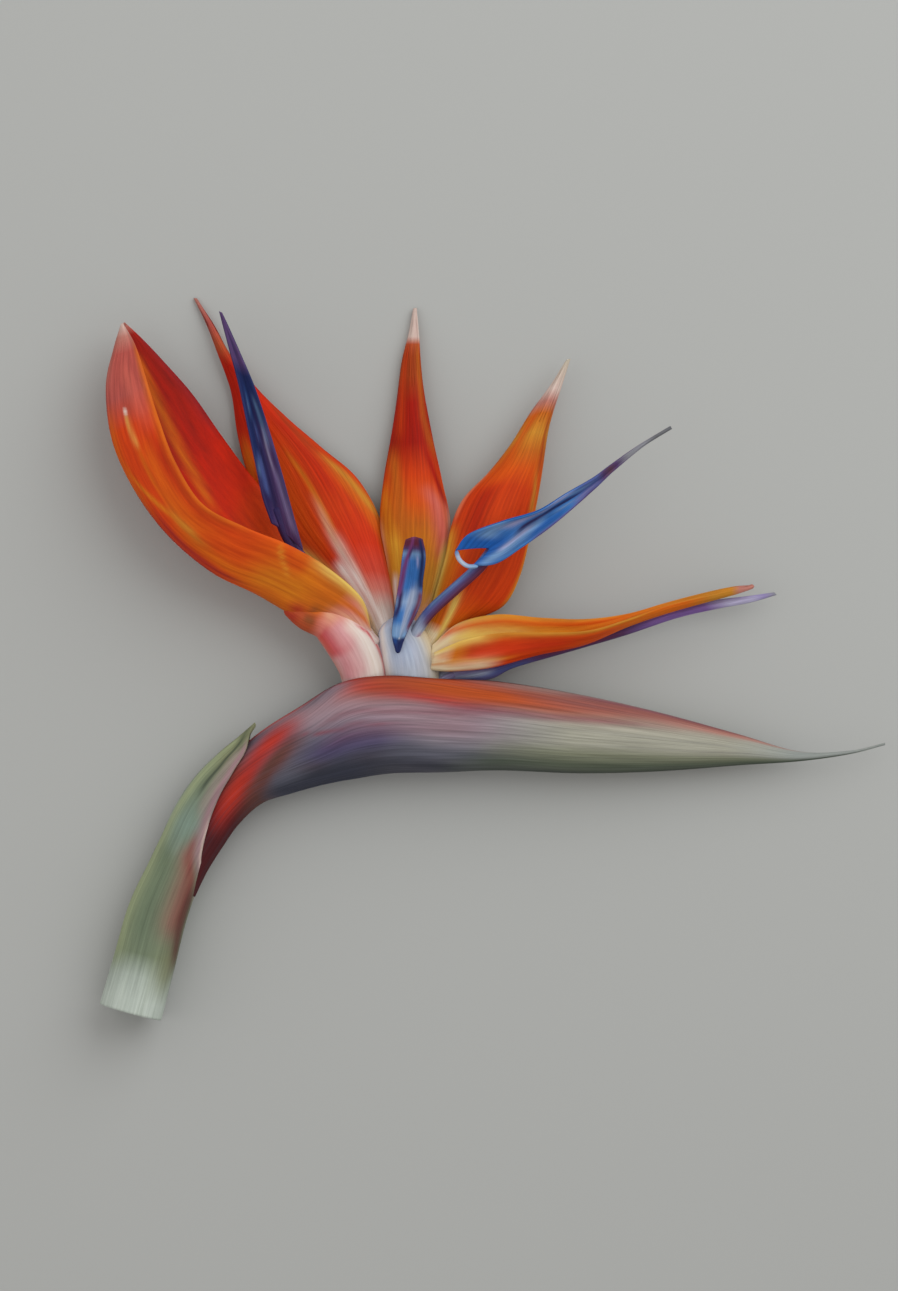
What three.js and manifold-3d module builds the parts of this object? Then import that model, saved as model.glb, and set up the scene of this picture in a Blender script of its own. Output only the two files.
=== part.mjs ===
// A cut bird of paradise flower (Strelitzia), lying on its side on a surface.
//
// Millimetres, +Z up. The surface is z = 0, and the view from above is the flower's side view:
// +X runs along the beak-like spathe, and +Y runs up through the fan of sepals.
// The origin is the middle of the flower's outline, on the surface.
//
// The blades (sepals and petals) are all made by one function. A blade is a list of stations from its
// root to its tip, and a station is three points: one margin, the midrib, the other margin.

import * as THREE from "three";
import { mergeVertices } from "three/addons/utils/BufferGeometryUtils.js";
import Module from "manifold-3d";

const wasm = await Module();
wasm.setup();

// ---------- driving dimensions ----------
const FIT_GAP = 0.3; // clear space left between two pieces that meet
const MARGIN_THICKNESS = 0.7; // a blade at its edge
const SEPAL_THICKNESS = 1.2; // a sepal at its midrib
const PETAL_THICKNESS = 1.0; // a blue petal at its midrib
const TIP_HALF_WIDTH = 0.45; // how narrow a blade gets at its tip
const SPATHE_WALL = 1.5;
const SHEATH_WALL = 1.0;
const ARROW_STALK_RADIUS = 1.5;
const LOW_STALK_RADIUS = 1.2;
const RIM_RADIUS = 0.55; // the rolled rim behind the right arrow's barbs
const LEAST_HALF_HOLLOW = 0.3; // the spathe's hollow where it runs out, half its depth
const LEAST_HALF_SLIT = 0.05;
const MOUTH_SHARE = 0.98; // the hollow meets its mouth just inside the mouth's edges
const ABOVE_CROWN = 2; // how far the cut for the mouth goes on above the spathe
const WIDEST_WRAP = 176; // degrees to each side; a full turn would leave no open side to cut
const PAST_STEM = 1.25; // the cut on the sheath's open side, as a share of the stem's radius
const PAST_TIP = 1; // how far that cut goes on past the sheath's tip

// ---------- colours ----------
const COLOURS = {
  sepal: 0xd9541a,
  arrow: 0x3f66b0,
  spathe: 0x84867f,
  stem: 0x7f9373,
  floret: 0xe3c9c0,
};
const material = (name, roughness) =>
  new THREE.MeshStandardMaterial({ color: COLOURS[name], roughness, metalness: 0 });
const MATERIALS = {
  sepal: material("sepal", 0.5),
  arrow: material("arrow", 0.4),
  spathe: material("spathe", 0.45),
  stem: material("stem", 0.5),
  floret: material("floret", 0.5),
};

// ---------- sepals: [margin, midrib, margin] at each station, root first ----------
// The left sepal is folded like a boat on its side: near margin, keel, far margin.
const SEPAL_LEFT = [
  [[-31, 6.8, 11.5], [-31, 2.5, 10.5], [-28, 4, 8]],
  [[-33.5, 15, 17], [-40.75, 8.5, 12], [-36.5, 13.75, 7]],
  [[-42, 22.75, 20], [-50.5, 11.5, 13], [-44.5, 22, 6.5]],
  [[-51.5, 28.25, 22.5], [-59.5, 16.5, 14], [-51.25, 31, 6.5]],
  [[-62.25, 32.5, 24], [-70.2, 22.1, 15], [-57.5, 41, 6.5]],
  [[-72.75, 38.25, 24.5], [-80.4, 31.1, 16], [-63.25, 48.25, 6.5]],
  [[-79.5, 48.75, 23.5], [-88.7, 41.9, 16], [-69.25, 56.5, 7]],
  [[-84, 60.25, 21], [-94.7, 54.3, 15.5], [-76, 66.25, 7.5]],
  [[-87.5, 71, 17.5], [-96.6, 67.6, 14.5], [-83, 74.25, 9]],
  [[-90, 78.25, 14.5], [-94.9, 77, 13], [-88.5, 80, 10.5]],
  [[-92.9, 83.8, 12]],
];
// The broad sepal behind it, close to the surface, with a long curved tip.
const SEPAL_BACK = [
  [[-28, 1.5, 5.5], [-26.25, 2, 7.5], [-24.5, 1, 6]],
  [[-36, 11.5, 3.5], [-31, 16, 7], [-25.75, 14.5, 5]],
  [[-44.5, 19.5, 2.5], [-36.5, 26.5, 6.5], [-27.25, 25.75, 4.5]],
  [[-53, 28.25, 2], [-42, 36.25, 6], [-29.3, 35.8, 4]],
  [[-58.5, 37.5, 1.8], [-47.5, 46.25, 5.5], [-34.9, 45.4, 3.5]],
  [[-62.5, 47, 1.6], [-53, 54.5, 5], [-43.5, 52.25, 3]],
  [[-65, 56.5, 1.5], [-58.5, 62, 4.5], [-52, 59.25, 2.6]],
  [[-66.5, 67, 1.5], [-63, 69, 4], [-59.5, 66.75, 2.4]],
  [[-69.5, 76.3, 1.5], [-68, 76.6, 3], [-66.6, 75.8, 2]],
  [[-72.6, 84, 1.2], [-71.8, 84.1, 1.6], [-71, 83.8, 1.4]],
  [[-75.5, 90.5, 0.4]],
];
const SEPAL_UPRIGHT = [
  [[-24.5, 4.5, 7], [-22.5, 4, 9.5], [-20.5, 4.5, 8]],
  [[-25.5, 14.5, 6.5], [-20.75, 14.5, 10.5], [-15.75, 14.5, 8]],
  [[-27.5, 24.5, 6], [-20, 24.5, 10.5], [-12.5, 25.75, 7.5]],
  [[-29, 34, 5.5], [-19.75, 34, 10], [-11.25, 34, 7]],
  [[-28, 44.5, 4.5], [-20, 44.5, 9], [-13.5, 44.5, 6]],
  [[-26.5, 54.5, 3.5], [-20.25, 54.5, 7.5], [-16, 54.5, 5]],
  [[-25, 64.5, 2.5], [-20.75, 64.5, 6], [-17.75, 64.5, 4]],
  [[-23.5, 74, 1.8], [-21, 74, 4], [-18.75, 74, 3]],
  [[-21.75, 81.5, 1.2], [-20.5, 81.5, 2.2], [-19.4, 81.5, 1.8]],
  [[-20.25, 88, 0.8]],
];
const SEPAL_RIGHT = [
  [[-19, 3.25, 9], [-17, 2.5, 10], [-15, 1.5, 8]],
  [[-16.5, 11.5, 9.5], [-12.25, 9.5, 11], [-7, 9, 7.5]],
  [[-14.75, 18.25, 10], [-7.75, 17.5, 12.5], [1.75, 13.25, 8]],
  [[-12.5, 26.25, 10], [-4, 25.25, 13.5], [6, 20.5, 8]],
  [[-11, 33.25, 9.5], [-0.5, 33.25, 13], [8.25, 28.75, 8]],
  [[-8.2, 39.7, 9], [3, 41.5, 12], [9.75, 37.5, 8]],
  [[-1.9, 46.6, 8], [6.75, 48.75, 11], [11.25, 47, 7.5]],
  [[3.9, 53.9, 7], [9.75, 56.5, 9.5], [12.75, 55.5, 7]],
  [[8.8, 61.4, 6.5], [12.75, 63.25, 8], [14.5, 62.5, 6.5]],
  [[14, 68.5, 6], [15.5, 69.25, 6.8], [16.5, 68.75, 6.2]],
  [[18.25, 75, 5.6]],
];
// The low sepal is a narrow boat: near margin, keel, far margin.
const SEPAL_LOW = [
  [[-15.5, 1.5, 14.5], [-16.5, -2.25, 12], [-16, 3.25, 12]],
  [[-8.5, 4.5, 17], [-11, -2.5, 12.5], [-9.5, 8.75, 12.5]],
  [[1, 6.25, 18], [-1, -1.5, 12.5], [0.25, 11, 12.5]],
  [[12.25, 6.5, 18], [10.25, 1.5, 12], [11, 10.25, 11.5]],
  [[23.5, 7.25, 17], [21.75, 4, 11], [22.25, 9.9, 10.5]],
  [[33.5, 9.9, 15], [33, 8.6, 10.5], [32.5, 11.1, 9.5]],
  [[43, 13, 13], [42.75, 11.9, 10], [42.25, 13.9, 8.8]],
  [[52.25, 15.6, 11.2], [52, 14.5, 9], [51.75, 16.4, 8.4]],
  [[59.75, 17.3, 9.8], [59.75, 16.6, 8.6], [59.25, 18, 8.3]],
  [[64.5, 18.2, 8.5]],
];

// ---------- blue petals ----------
// An arrow petal has two wings with a groove between them, barbs at the back and a stalk under the groove.
const ARROW_RIGHT = [
  [[-10.25, 26.75, 24], [-2, 27.25, 21], [-6.25, 23, 23]],
  [[-7, 30.75, 25], [2.25, 30, 21], [-0.25, 23.5, 23]],
  [[1, 33.75, 25], [7.25, 33.75, 21], [6.25, 27.5, 23]],
  [[9.9, 36.3, 24.5], [13, 36.75, 21], [13, 32.25, 22.5]],
  [[17.3, 40.9, 23.5], [18.5, 39.8, 21], [19, 37.25, 22]],
  [[24, 44.8, 22.5], [24.5, 43.8, 20.5], [24.5, 42.25, 21.5]],
  [[28.5, 48.1, 21.5], [29, 47.5, 20], [29.25, 46.75, 20.5]],
  [[36, 53.4, 19.8], [36.25, 53, 19.5], [36.5, 52.6, 19.6]],
  [[43.5, 57.5, 18.5]],
];
const ARROW_RIGHT_STALK = [
  [-21, 5.2, 13],
  [-16.7, 11.3, 15.6],
  [-10.7, 16.9, 18],
  [-4.5, 22.5, 19],
  [-0.5, 27.4, 19.4],
];
const ARROW_RIGHT_RIM = [
  [-10, 26.8, 24],
  [-9.2, 24.6, 23.3],
  [-7.2, 23, 23],
  [-4.5, 22.9, 22.8],
];
const ARROW_LEFT = [
  [[-55.75, 33.5, 15], [-53.5, 32, 13.5], [-48, 26.75, 16]],
  [[-58.25, 40.75, 15], [-55.25, 38.25, 13], [-51, 37.5, 16]],
  [[-60, 49, 14.5], [-57.5, 47.5, 12.5], [-53.75, 47.5, 15.5]],
  [[-62, 58.25, 14], [-60, 57.5, 12.3], [-57, 58.25, 15]],
  [[-64.25, 68.75, 13.5], [-62.4, 67.5, 12], [-60.25, 67.75, 14]],
  [[-66.6, 77.5, 13], [-65.4, 77, 12.3], [-63.9, 76.25, 13.3]],
  [[-68.75, 86.5, 12.5]],
];
const ARROW_LEFT_STALK = [
  [-29.5, 3.25, 11],
  [-37.75, 12, 12.5],
  [-45.25, 20.75, 13.5],
  [-51.5, 29.5, 13],
  [-55, 38, 12.7],
];
const ARROW_LOW = [
  [[-15, -3.75, 8.5], [-14, -4.75, 9], [-13, -5.75, 8.5]],
  [[-6.5, -1.5, 8.5], [-5, -3, 10], [-2, -5.25, 8.5]],
  [[3.5, 0.75, 8.5], [4, -0.75, 9.5], [4.5, -2.25, 8]],
  [[16, 3.75, 8], [16.25, 2.5, 9], [16.5, 1.25, 7.5]],
  [[31, 8, 7.5], [31.5, 6.5, 8], [31.7, 5.8, 7]],
  [[43.5, 12.5, 7], [44.5, 11, 7.5], [45.3, 10.3, 6.5]],
  [[53.5, 14.5, 6.5], [54.5, 13.25, 7], [55.4, 12.6, 6.2]],
  [[62.25, 15.5, 6.3], [62.75, 14.75, 6.6], [63.5, 14, 6.2]],
  [[70, 16.25, 6.2]],
];
const ARROW_LOW_STALK = [
  [-17, -9, 8.6],
  [-13.5, -5.5, 8.8],
  [-10, -3.9, 9.1],
];
// The short hooded petal at the heart of the flower.
const HOOD_PETAL = [
  [[-24.9, 1.6, 15.6], [-24.5, 1.3, 15.2], [-24.1, 1.6, 15.6]],
  [[-25.95, 6.4, 15.9], [-24.1, 6.1, 14.8], [-22.3, 6.4, 16.1]],
  [[-25, 13.75, 16], [-22.25, 13.75, 14.2], [-18.9, 13.5, 16.5]],
  [[-24, 20, 16], [-21.1, 20, 13.5], [-18.3, 19.5, 16.5]],
  [[-23.3, 25.75, 16.5], [-20.5, 25.75, 14.5], [-17.6, 25.25, 17]],
  [[-22.6, 29.6, 17], [-20.4, 30.3, 16.8], [-18.3, 29.75, 17.2]],
];

// ---------- the florets' fleshy bases: centre, half width, half depth ----------
const FLORET_LEFT = [
  { at: [-31, -14.25, 8.5], wide: 4.5, deep: 4 },
  { at: [-32.5, -8, 8.5], wide: 5.4, deep: 4.6 },
  { at: [-33.5, -1.75, 9], wide: 6, deep: 5.2 },
  { at: [-36.5, 4.25, 10], wide: 6.3, deep: 5.5 },
  { at: [-41.5, 9.5, 11], wide: 5.5, deep: 5 },
  { at: [-47.4, 11.4, 12], wide: 4.2, deep: 3.4 },
  { at: [-52.6, 14, 12.6], wide: 2.3, deep: 1.8 },
];
const FLORET_RIGHT = [
  { at: [-20.25, -14.25, 8.5], wide: 5.2, deep: 4 },
  { at: [-20.9, -8, 8.5], wide: 6.6, deep: 4.8 },
  { at: [-21.3, -2.5, 9], wide: 7, deep: 5 },
  { at: [-22.6, 2.5, 10], wide: 6.6, deep: 4.4 },
  { at: [-24.6, 6.5, 10.8], wide: 5.4, deep: 3.4 },
  { at: [-26.8, 9.75, 11.6], wide: 3.4, deep: 2.2 },
];

// ---------- spathe: its margins' and its keel's outline, middle height, half depth, half slit ----------
const SPATHE = [
  { top: [-82, -56.6], bottom: [-75.25, -59.6], middle: 8, deep: 3, slit: 0 },
  { top: [-82, -48.1], bottom: [-72.25, -53.4], middle: 8, deep: 4.6, slit: 0 },
  { top: [-78.25, -39.9], bottom: [-68.5, -47.4], middle: 8, deep: 5.2, slit: 0 },
  { top: [-73.5, -31.9], bottom: [-64.25, -41.4], middle: 8, deep: 5.8, slit: 0 },
  { top: [-67, -25.1], bottom: [-58.5, -36.25], middle: 8.2, deep: 6.4, slit: 0 },
  { top: [-58.5, -18], bottom: [-51.25, -33.8], middle: 8.4, deep: 7.2, slit: 0.2 },
  { top: [-49, -12], bottom: [-42.75, -31.5], middle: 8.5, deep: 7.9, slit: 1.2 },
  { top: [-39, -6.1], bottom: [-35.25, -30.1], middle: 8.5, deep: 8.5, slit: 4.8 },
  { top: [-27.75, -4.25], bottom: [-26, -28.75], middle: 8.5, deep: 8.8, slit: 5.6 },
  { top: [-14, -5], bottom: [-13.5, -28.5], middle: 8.5, deep: 8.8, slit: 5.2 },
  { top: [1, -5.75], bottom: [1, -28], middle: 8.4, deep: 8.3, slit: 2.6 },
  { top: [21, -9], bottom: [21, -28.75], middle: 8, deep: 7.2, slit: 1.2 },
  { top: [41, -13.5], bottom: [41, -28.25], middle: 7.2, deep: 5.6, slit: 0.8 },
  { top: [61, -19], bottom: [61, -26.75], middle: 6.4, deep: 3.6, slit: 0.6 },
  { top: [76, -23.25], bottom: [76, -25.75], middle: 6, deep: 1.6, slit: 0.3 },
  { top: [88.5, -23.1], bottom: [88.5, -24], middle: 5.6, deep: 0.7, slit: 0.1 },
  { top: [97.5, -21.1], bottom: [97.5, -21.7], middle: 5.2, deep: 0.35, slit: 0.1 },
];
const SPATHE_HOLLOW = [5.6, 13.2]; // the stations between which it is hollow

// ---------- stem: its centre line, cut end first ----------
// wrap is how far the green sheath reaches round the stem from its back, to each side, in degrees.
const STEM = [
  { at: [-91.4, -88.4, 7.85], radius: 8, wrap: 180 },
  { at: [-88, -75.9, 7.6], radius: 7.75, wrap: 180 },
  { at: [-84.75, -63.9, 7.4], radius: 7.5, wrap: 180 },
  { at: [-80.75, -54.1, 7.4], radius: 6.9, wrap: 172 },
  { at: [-77.7, -47.4, 7.6], radius: 6.75, wrap: 133 },
  { at: [-74.25, -39.9, 7.8], radius: 6.75, wrap: 116 },
  { at: [-70.1, -33.4, 8], radius: 6.5, wrap: 103 },
  { at: [-65.4, -28, 8.2], radius: 6, wrap: 90 },
  { at: [-61, -23.1, 8.3], radius: 5, wrap: 71 },
  { at: [-57.25, -18.5, 8.5], radius: 4, wrap: 8 },
];
const SHEATH_MOUTH = 2.8; // the station where the sheath leaves the stem

// ---------- solids ----------
const vector = (p) => new THREE.Vector3(...p);
const curve = (points) => new THREE.CatmullRomCurve3(points.map(vector), false, "centripetal");
// A smooth curve through stations that are all the same step of t apart, so that rails stay abreast.
const rail = (points) => new THREE.CatmullRomCurve3(points.map(vector), false, "catmullrom", 0.5);

function solidOf(geometry) {
  for (const name of ["normal", "uv"]) geometry.deleteAttribute(name);
  const merged = mergeVertices(geometry, 1e-4);
  const make = (triVerts) =>
    new wasm.Manifold(
      new wasm.Mesh({
        numProp: 3,
        vertProperties: new Float32Array(merged.attributes.position.array),
        triVerts,
      }),
    );
  const triVerts = new Uint32Array(merged.index.array);
  const made = make(triVerts);
  if (made.volume() > 0) return made;
  for (let i = 0; i < triVerts.length; i += 3)
    [triVerts[i + 1], triVerts[i + 2]] = [triVerts[i + 2], triVerts[i + 1]];
  return make(triVerts);
}

function geometryOf(solid) {
  const mesh = solid.getMesh();
  const geometry = new THREE.BufferGeometry();
  geometry.setAttribute("position", new THREE.BufferAttribute(mesh.vertProperties, 3));
  geometry.setIndex(new THREE.BufferAttribute(mesh.triVerts, 1));
  geometry.computeVertexNormals();
  return geometry;
}

// A closed solid from a list of points and a list of four-cornered and three-cornered faces.
function solidFrom(points, faces) {
  const geometry = new THREE.BufferGeometry().setFromPoints(points);
  geometry.setIndex(faces.flatMap((f) => (f.length === 4 ? [f[0], f[1], f[2], f[0], f[2], f[3]] : f)));
  return solidOf(geometry);
}

// Moves the first and last ring of a loft outwards along it.
function lengthen(rings, by) {
  if (!by) return rings;
  const middle = (ring) =>
    ring.reduce((sum, p) => sum.add(p), new THREE.Vector3()).divideScalar(ring.length);
  for (const [end, next] of [
    [rings[0], rings[1]],
    [rings.at(-1), rings.at(-2)],
  ]) {
    const step = middle(end).sub(middle(next)).setLength(by);
    for (const point of end) point.add(step);
  }
  return rings;
}

// Rings of points joined into a closed solid, with a flat cap on each end.
function loft(rings) {
  const around = rings[0].length;
  const points = rings.flat();
  const faces = [];
  for (let i = 0; i < rings.length - 1; i += 1)
    for (let j = 0; j < around; j += 1) {
      const next = (j + 1) % around;
      faces.push([i * around + j, i * around + next, (i + 1) * around + next, (i + 1) * around + j]);
    }
  for (const [ring, first, turn] of [
    [rings[0], 0, false],
    [rings.at(-1), (rings.length - 1) * around, true],
  ]) {
    const centre = ring.reduce((sum, p) => sum.add(p), new THREE.Vector3()).divideScalar(around);
    const c = points.push(centre) - 1;
    for (let j = 0; j < around; j += 1) {
      const a = first + j;
      const b = first + ((j + 1) % around);
      faces.push(turn ? [c, a, b] : [c, b, a]);
    }
  }
  return solidFrom(points, faces);
}

// An ellipse round a point, square to a direction that runs mostly along the surface.
function ellipse(centre, direction, wide, deep, around) {
  const side = new THREE.Vector3().crossVectors(direction, new THREE.Vector3(0, 0, 1)).normalize();
  const up = new THREE.Vector3().crossVectors(side, direction).normalize();
  return Array.from({ length: around }, (_, j) => {
    const angle = (2 * Math.PI * j) / around;
    return centre
      .clone()
      .addScaledVector(side, wide * Math.cos(angle))
      .addScaledVector(up, deep * Math.sin(angle));
  });
}

function tube(points, radius, grow = 0) {
  const steps = 10;
  const path = curve(points);
  const rings = [];
  for (let i = 0; i <= steps; i += 1) {
    const t = i / steps;
    rings.push(ellipse(path.getPointAt(t), path.getTangentAt(t), radius + grow, radius + grow, 8));
  }
  return loft(lengthen(rings, grow));
}

// A floret's base, or the same grown by a margin.
function fleshy(stations, grow = 0) {
  const centres = curve(stations.map((s) => s.at));
  const sizes = rail(stations.map((s) => [s.wide, s.deep, 0]));
  const steps = 12;
  const rings = [];
  for (let i = 0; i <= steps; i += 1) {
    const t = i / steps;
    const size = sizes.getPoint(t);
    const ring = ellipse(centres.getPoint(t), centres.getTangent(t), size.x + grow, size.y + grow, 16);
    rings.push(ring);
  }
  return loft(lengthen(rings, grow));
}

// The tip station is one point, and it is spread along the line of the station before it.
function spreadTip(stations) {
  const tip = stations.at(-1);
  if (tip.length === 3) return stations;
  const before = stations.at(-2).map(vector);
  const across = before[2].clone().sub(before[0]).setLength(TIP_HALF_WIDTH);
  const point = vector(tip[0]);
  return [
    ...stations.slice(0, -1),
    [point.clone().sub(across).toArray(), point.toArray(), point.clone().add(across).toArray()],
  ];
}

// A thin closed solid round a surface. at(t, s) is the surface, for t from 0 to 1 and s from -1 to 1,
// and half(s) is half its thickness. Both faces are split into triangles alike.
function sheet(at, half, along, across, grow = 0) {
  const small = 1e-3;
  const normal = (t, s) => {
    const ta = Math.min(Math.max(t, small), 1 - small);
    const sa = Math.abs(s) < small ? 0 : s;
    const u = at(ta + small, sa).sub(at(ta - small, sa));
    const v = at(ta, sa + small).sub(at(ta, sa - small));
    return u.cross(v).normalize();
  };
  const faces = [];
  const points = [];
  const width = across + 1;
  const layer = (along + 1) * width;
  for (const sign of [1, -1])
    for (let i = 0; i <= along; i += 1)
      for (let j = 0; j <= across; j += 1) {
        const t = i / along;
        const s = -1 + (2 * j) / across;
        const reach = 1 + (2 * grow) / at(t, -1).distanceTo(at(t, 1));
        const point = at(t, s * reach).addScaledVector(normal(t, s), sign * (half(s) + grow));
        if (i === 0) point.add(at(0, 0).sub(at(small, 0)).setLength(grow));
        if (i === along) point.add(at(1, 0).sub(at(1 - small, 0)).setLength(grow));
        points.push(point);
      }
  for (let i = 0; i < along; i += 1)
    for (let j = 0; j < across; j += 1) {
      const a = i * width + j;
      const [b, c, d] = [a + 1, a + width + 1, a + width];
      faces.push([a, b, c], [a, c, d]);
      faces.push([layer + a, layer + c, layer + b], [layer + a, layer + d, layer + c]);
    }
  const wall = (a, b) => faces.push([a, layer + a, layer + b], [a, layer + b, b]);
  for (let j = 0; j < across; j += 1) {
    wall(j, j + 1);
    wall(along * width + j + 1, along * width + j);
  }
  for (let i = 0; i < along; i += 1) {
    wall((i + 1) * width, i * width);
    wall(i * width + across, (i + 1) * width + across);
  }
  return solidFrom(points, faces);
}

// A sepal or petal. fold is 2 for a round section and nearer 1 for a sharp keel or groove.
function blade(stations, { thickness, fold = 2, along = 20, across = 6 }, grow = 0) {
  const full = spreadTip(stations);
  const [near, middle, far] = [0, 1, 2].map((k) => rail(full.map((s) => s[k])));
  const at = (t, s) => {
    const [n, m, f] = [near.getPoint(t), middle.getPoint(t), far.getPoint(t)];
    const half = f.clone().sub(n).multiplyScalar(0.5);
    const bend = f.clone().add(n).multiplyScalar(0.5).sub(m);
    return m.addScaledVector(half, s).addScaledVector(bend, Math.abs(s) ** fold);
  };
  const half = (s) => THREE.MathUtils.lerp(thickness, MARGIN_THICKNESS, s * s) / 2;
  return sheet(at, half, along, across, grow);
}

// ---------- the spathe ----------
// All of its stations' numbers at a share t of the way along.
function spatheAt(t) {
  const between = (pick) => rail(SPATHE.map(pick)).getPoint(t);
  const top = between((s) => [...s.top, s.middle]);
  const bottom = between((s) => [...s.bottom, s.middle]);
  const sizes = between((s) => [s.deep, s.slit, 0]);
  const slit = Math.max(sizes.y, 0.1);
  // The margins stop short of the section's crown, so the crown is set above the outline of the margins.
  const share = (1 + Math.sqrt(1 - (slit / sizes.x) ** 2)) / 2;
  return { top: bottom.clone().lerp(top, 1 / share), bottom, deep: sizes.x, slit };
}

// A point of its section: angle 0 is the keel, and half a turn is the top.
function spathePoint({ top, bottom, deep }, angle, inset = 0) {
  const height = top.clone().sub(bottom);
  const share = (1 - Math.cos(angle)) / 2;
  const kept = 1 - (2 * inset) / height.length();
  const point = bottom.clone().addScaledVector(height, 0.5 + (share - 0.5) * kept);
  point.z += (deep - inset) * Math.sin(angle);
  return point;
}

function spatheBody(grow = 0) {
  const steps = 32;
  const around = 20;
  const rings = [];
  for (let i = 0; i <= steps; i += 1) {
    const station = spatheAt(i / steps);
    rings.push(
      Array.from({ length: around }, (_, j) => spathePoint(station, (2 * Math.PI * j) / around, -grow)),
    );
  }
  return loft(lengthen(rings, grow));
}

// The hollow inside the spathe, which opens through the slit between its two margins.
function spatheHollow(shrink = 0) {
  const steps = 20;
  const around = 12;
  const last = SPATHE.length - 1;
  const [from, to] = SPATHE_HOLLOW;
  const rings = [];
  for (let i = 0; i <= steps; i += 1) {
    const station = spatheAt((from + ((to - from) * i) / steps) / last);
    const inside = Math.max(station.deep - SPATHE_WALL - shrink, LEAST_HALF_HOLLOW);
    const wall = station.deep - inside;
    const slit = Math.max(station.slit - shrink, LEAST_HALF_SLIT);
    const mouth = Math.PI - Math.asin(Math.min((slit * MOUTH_SHARE) / inside, 1));
    const ring = [];
    for (let j = 0; j <= around; j += 1)
      ring.push(spathePoint(station, mouth * (-1 + (2 * j) / around), wall));
    const up = station.top.clone().sub(station.bottom).setLength(ABOVE_CROWN);
    for (const sign of [1, -1]) {
      const lip = station.top.clone().add(up);
      lip.z += sign * slit;
      ring.push(lip);
    }
    rings.push(ring);
  }
  return loft(rings);
}

// ---------- the stem ----------
function stemAt(t) {
  const centres = rail(STEM.map((s) => s.at));
  const sizes = rail(STEM.map((s) => [s.radius, s.wrap, 0])).getPoint(t);
  return { centre: centres.getPoint(t), direction: centres.getTangent(t), radius: sizes.x, wrap: sizes.y };
}

// A point round the stem: angle 0 is the inner side of its bend, and half a turn is its back.
function aroundStem({ centre, direction }, radius, angle) {
  const side = new THREE.Vector3(direction.y, -direction.x, 0).normalize();
  const point = centre.clone().addScaledVector(side, radius * Math.cos(angle));
  point.z += radius * Math.sin(angle);
  return point;
}

// The stem is round up to the sheath's mouth. From there only the sheath goes on, as a pointed trough:
// what lies inside it and on its open side is cut away.
function stem() {
  const steps = 22;
  const around = 20;
  const last = STEM.length - 1;
  const round = [];
  for (let i = 0; i <= steps; i += 1) {
    const station = stemAt(i / steps);
    round.push(
      Array.from({ length: around }, (_, j) =>
        aroundStem(station, station.radius, (2 * Math.PI * j) / around),
      ),
    );
  }
  const cut = [];
  const cutSteps = 16;
  const inner = 10;
  const outer = 8;
  for (let i = 0; i <= cutSteps; i += 1) {
    const station = stemAt((SHEATH_MOUTH + ((last - SHEATH_MOUTH) * i) / cutSteps) / last);
    const wrap = THREE.MathUtils.degToRad(Math.min(station.wrap, WIDEST_WRAP));
    const open = Math.PI - wrap;
    const ring = [];
    for (let j = 0; j <= inner; j += 1)
      ring.push(aroundStem(station, station.radius - SHEATH_WALL, open + (2 * wrap * j) / inner));
    for (let j = 0; j <= outer; j += 1)
      ring.push(aroundStem(station, station.radius * PAST_STEM, -open + (2 * open * j) / outer));
    cut.push(ring);
  }
  const { direction } = stemAt(1);
  for (const point of cut.at(-1)) point.addScaledVector(direction, PAST_TIP);
  return loft(round).subtract(loft(cut));
}

// ---------- putting it together ----------
// The largest body of a solid that a cut may have left in pieces.
function largest(solid) {
  const bodies = solid.decompose();
  return bodies.reduce((best, body) => (body.volume() > best.volume() ? body : best), bodies[0]);
}

// What lies under the surface is cut off flat, so that the flower rests on small flat spots.
function flattened(solid) {
  const [width, depth] = [300, 20];
  const under = new THREE.BoxGeometry(width, width, depth).translate(0, 0, -depth / 2);
  return solid.subtract(solidOf(under));
}

const sepal = { thickness: SEPAL_THICKNESS };
const boat = { thickness: SEPAL_THICKNESS, across: 8 };
const petal = { thickness: PETAL_THICKNESS, fold: 1.5 };
// Each blade, with the stalks that are part of it. Where two meet, the earlier one keeps its shape.
const BLADES = [
  {
    name: "arrow_petal_right",
    stations: ARROW_RIGHT,
    shape: petal,
    stalks: [
      { line: ARROW_RIGHT_STALK, radius: ARROW_STALK_RADIUS },
      { line: ARROW_RIGHT_RIM, radius: RIM_RADIUS },
    ],
  },
  { name: "hood_petal", stations: HOOD_PETAL, shape: { ...petal, along: 10 } },
  { name: "sepal_low_right", stations: SEPAL_LOW, shape: boat },
  { name: "sepal_right", stations: SEPAL_RIGHT, shape: sepal },
  { name: "sepal_upright", stations: SEPAL_UPRIGHT, shape: sepal },
  { name: "sepal_left", stations: SEPAL_LEFT, shape: boat },
  {
    name: "arrow_petal_left",
    stations: ARROW_LEFT,
    shape: { ...petal, along: 14 },
    stalks: [{ line: ARROW_LEFT_STALK, radius: ARROW_STALK_RADIUS }],
  },
  { name: "sepal_back_left", stations: SEPAL_BACK, shape: sepal },
  {
    name: "arrow_petal_low",
    stations: ARROW_LOW,
    shape: petal,
    stalks: [{ line: ARROW_LOW_STALK, radius: LOW_STALK_RADIUS }],
  },
];

function bladeSolid({ stations, shape, stalks = [] }, grow = 0) {
  let solid = blade(stations, shape, grow);
  for (const { line, radius } of stalks) solid = solid.add(tube(line, radius, grow));
  return solid;
}

const group = new THREE.Group();
function place(name, solid, look) {
  const mesh = new THREE.Mesh(geometryOf(solid), MATERIALS[look]);
  mesh.name = name;
  group.add(mesh);
}

place("spathe", largest(flattened(spatheBody().subtract(spatheHollow()))), "spathe");
place("stem", largest(flattened(stem()).subtract(spatheBody(FIT_GAP))), "stem");

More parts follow.
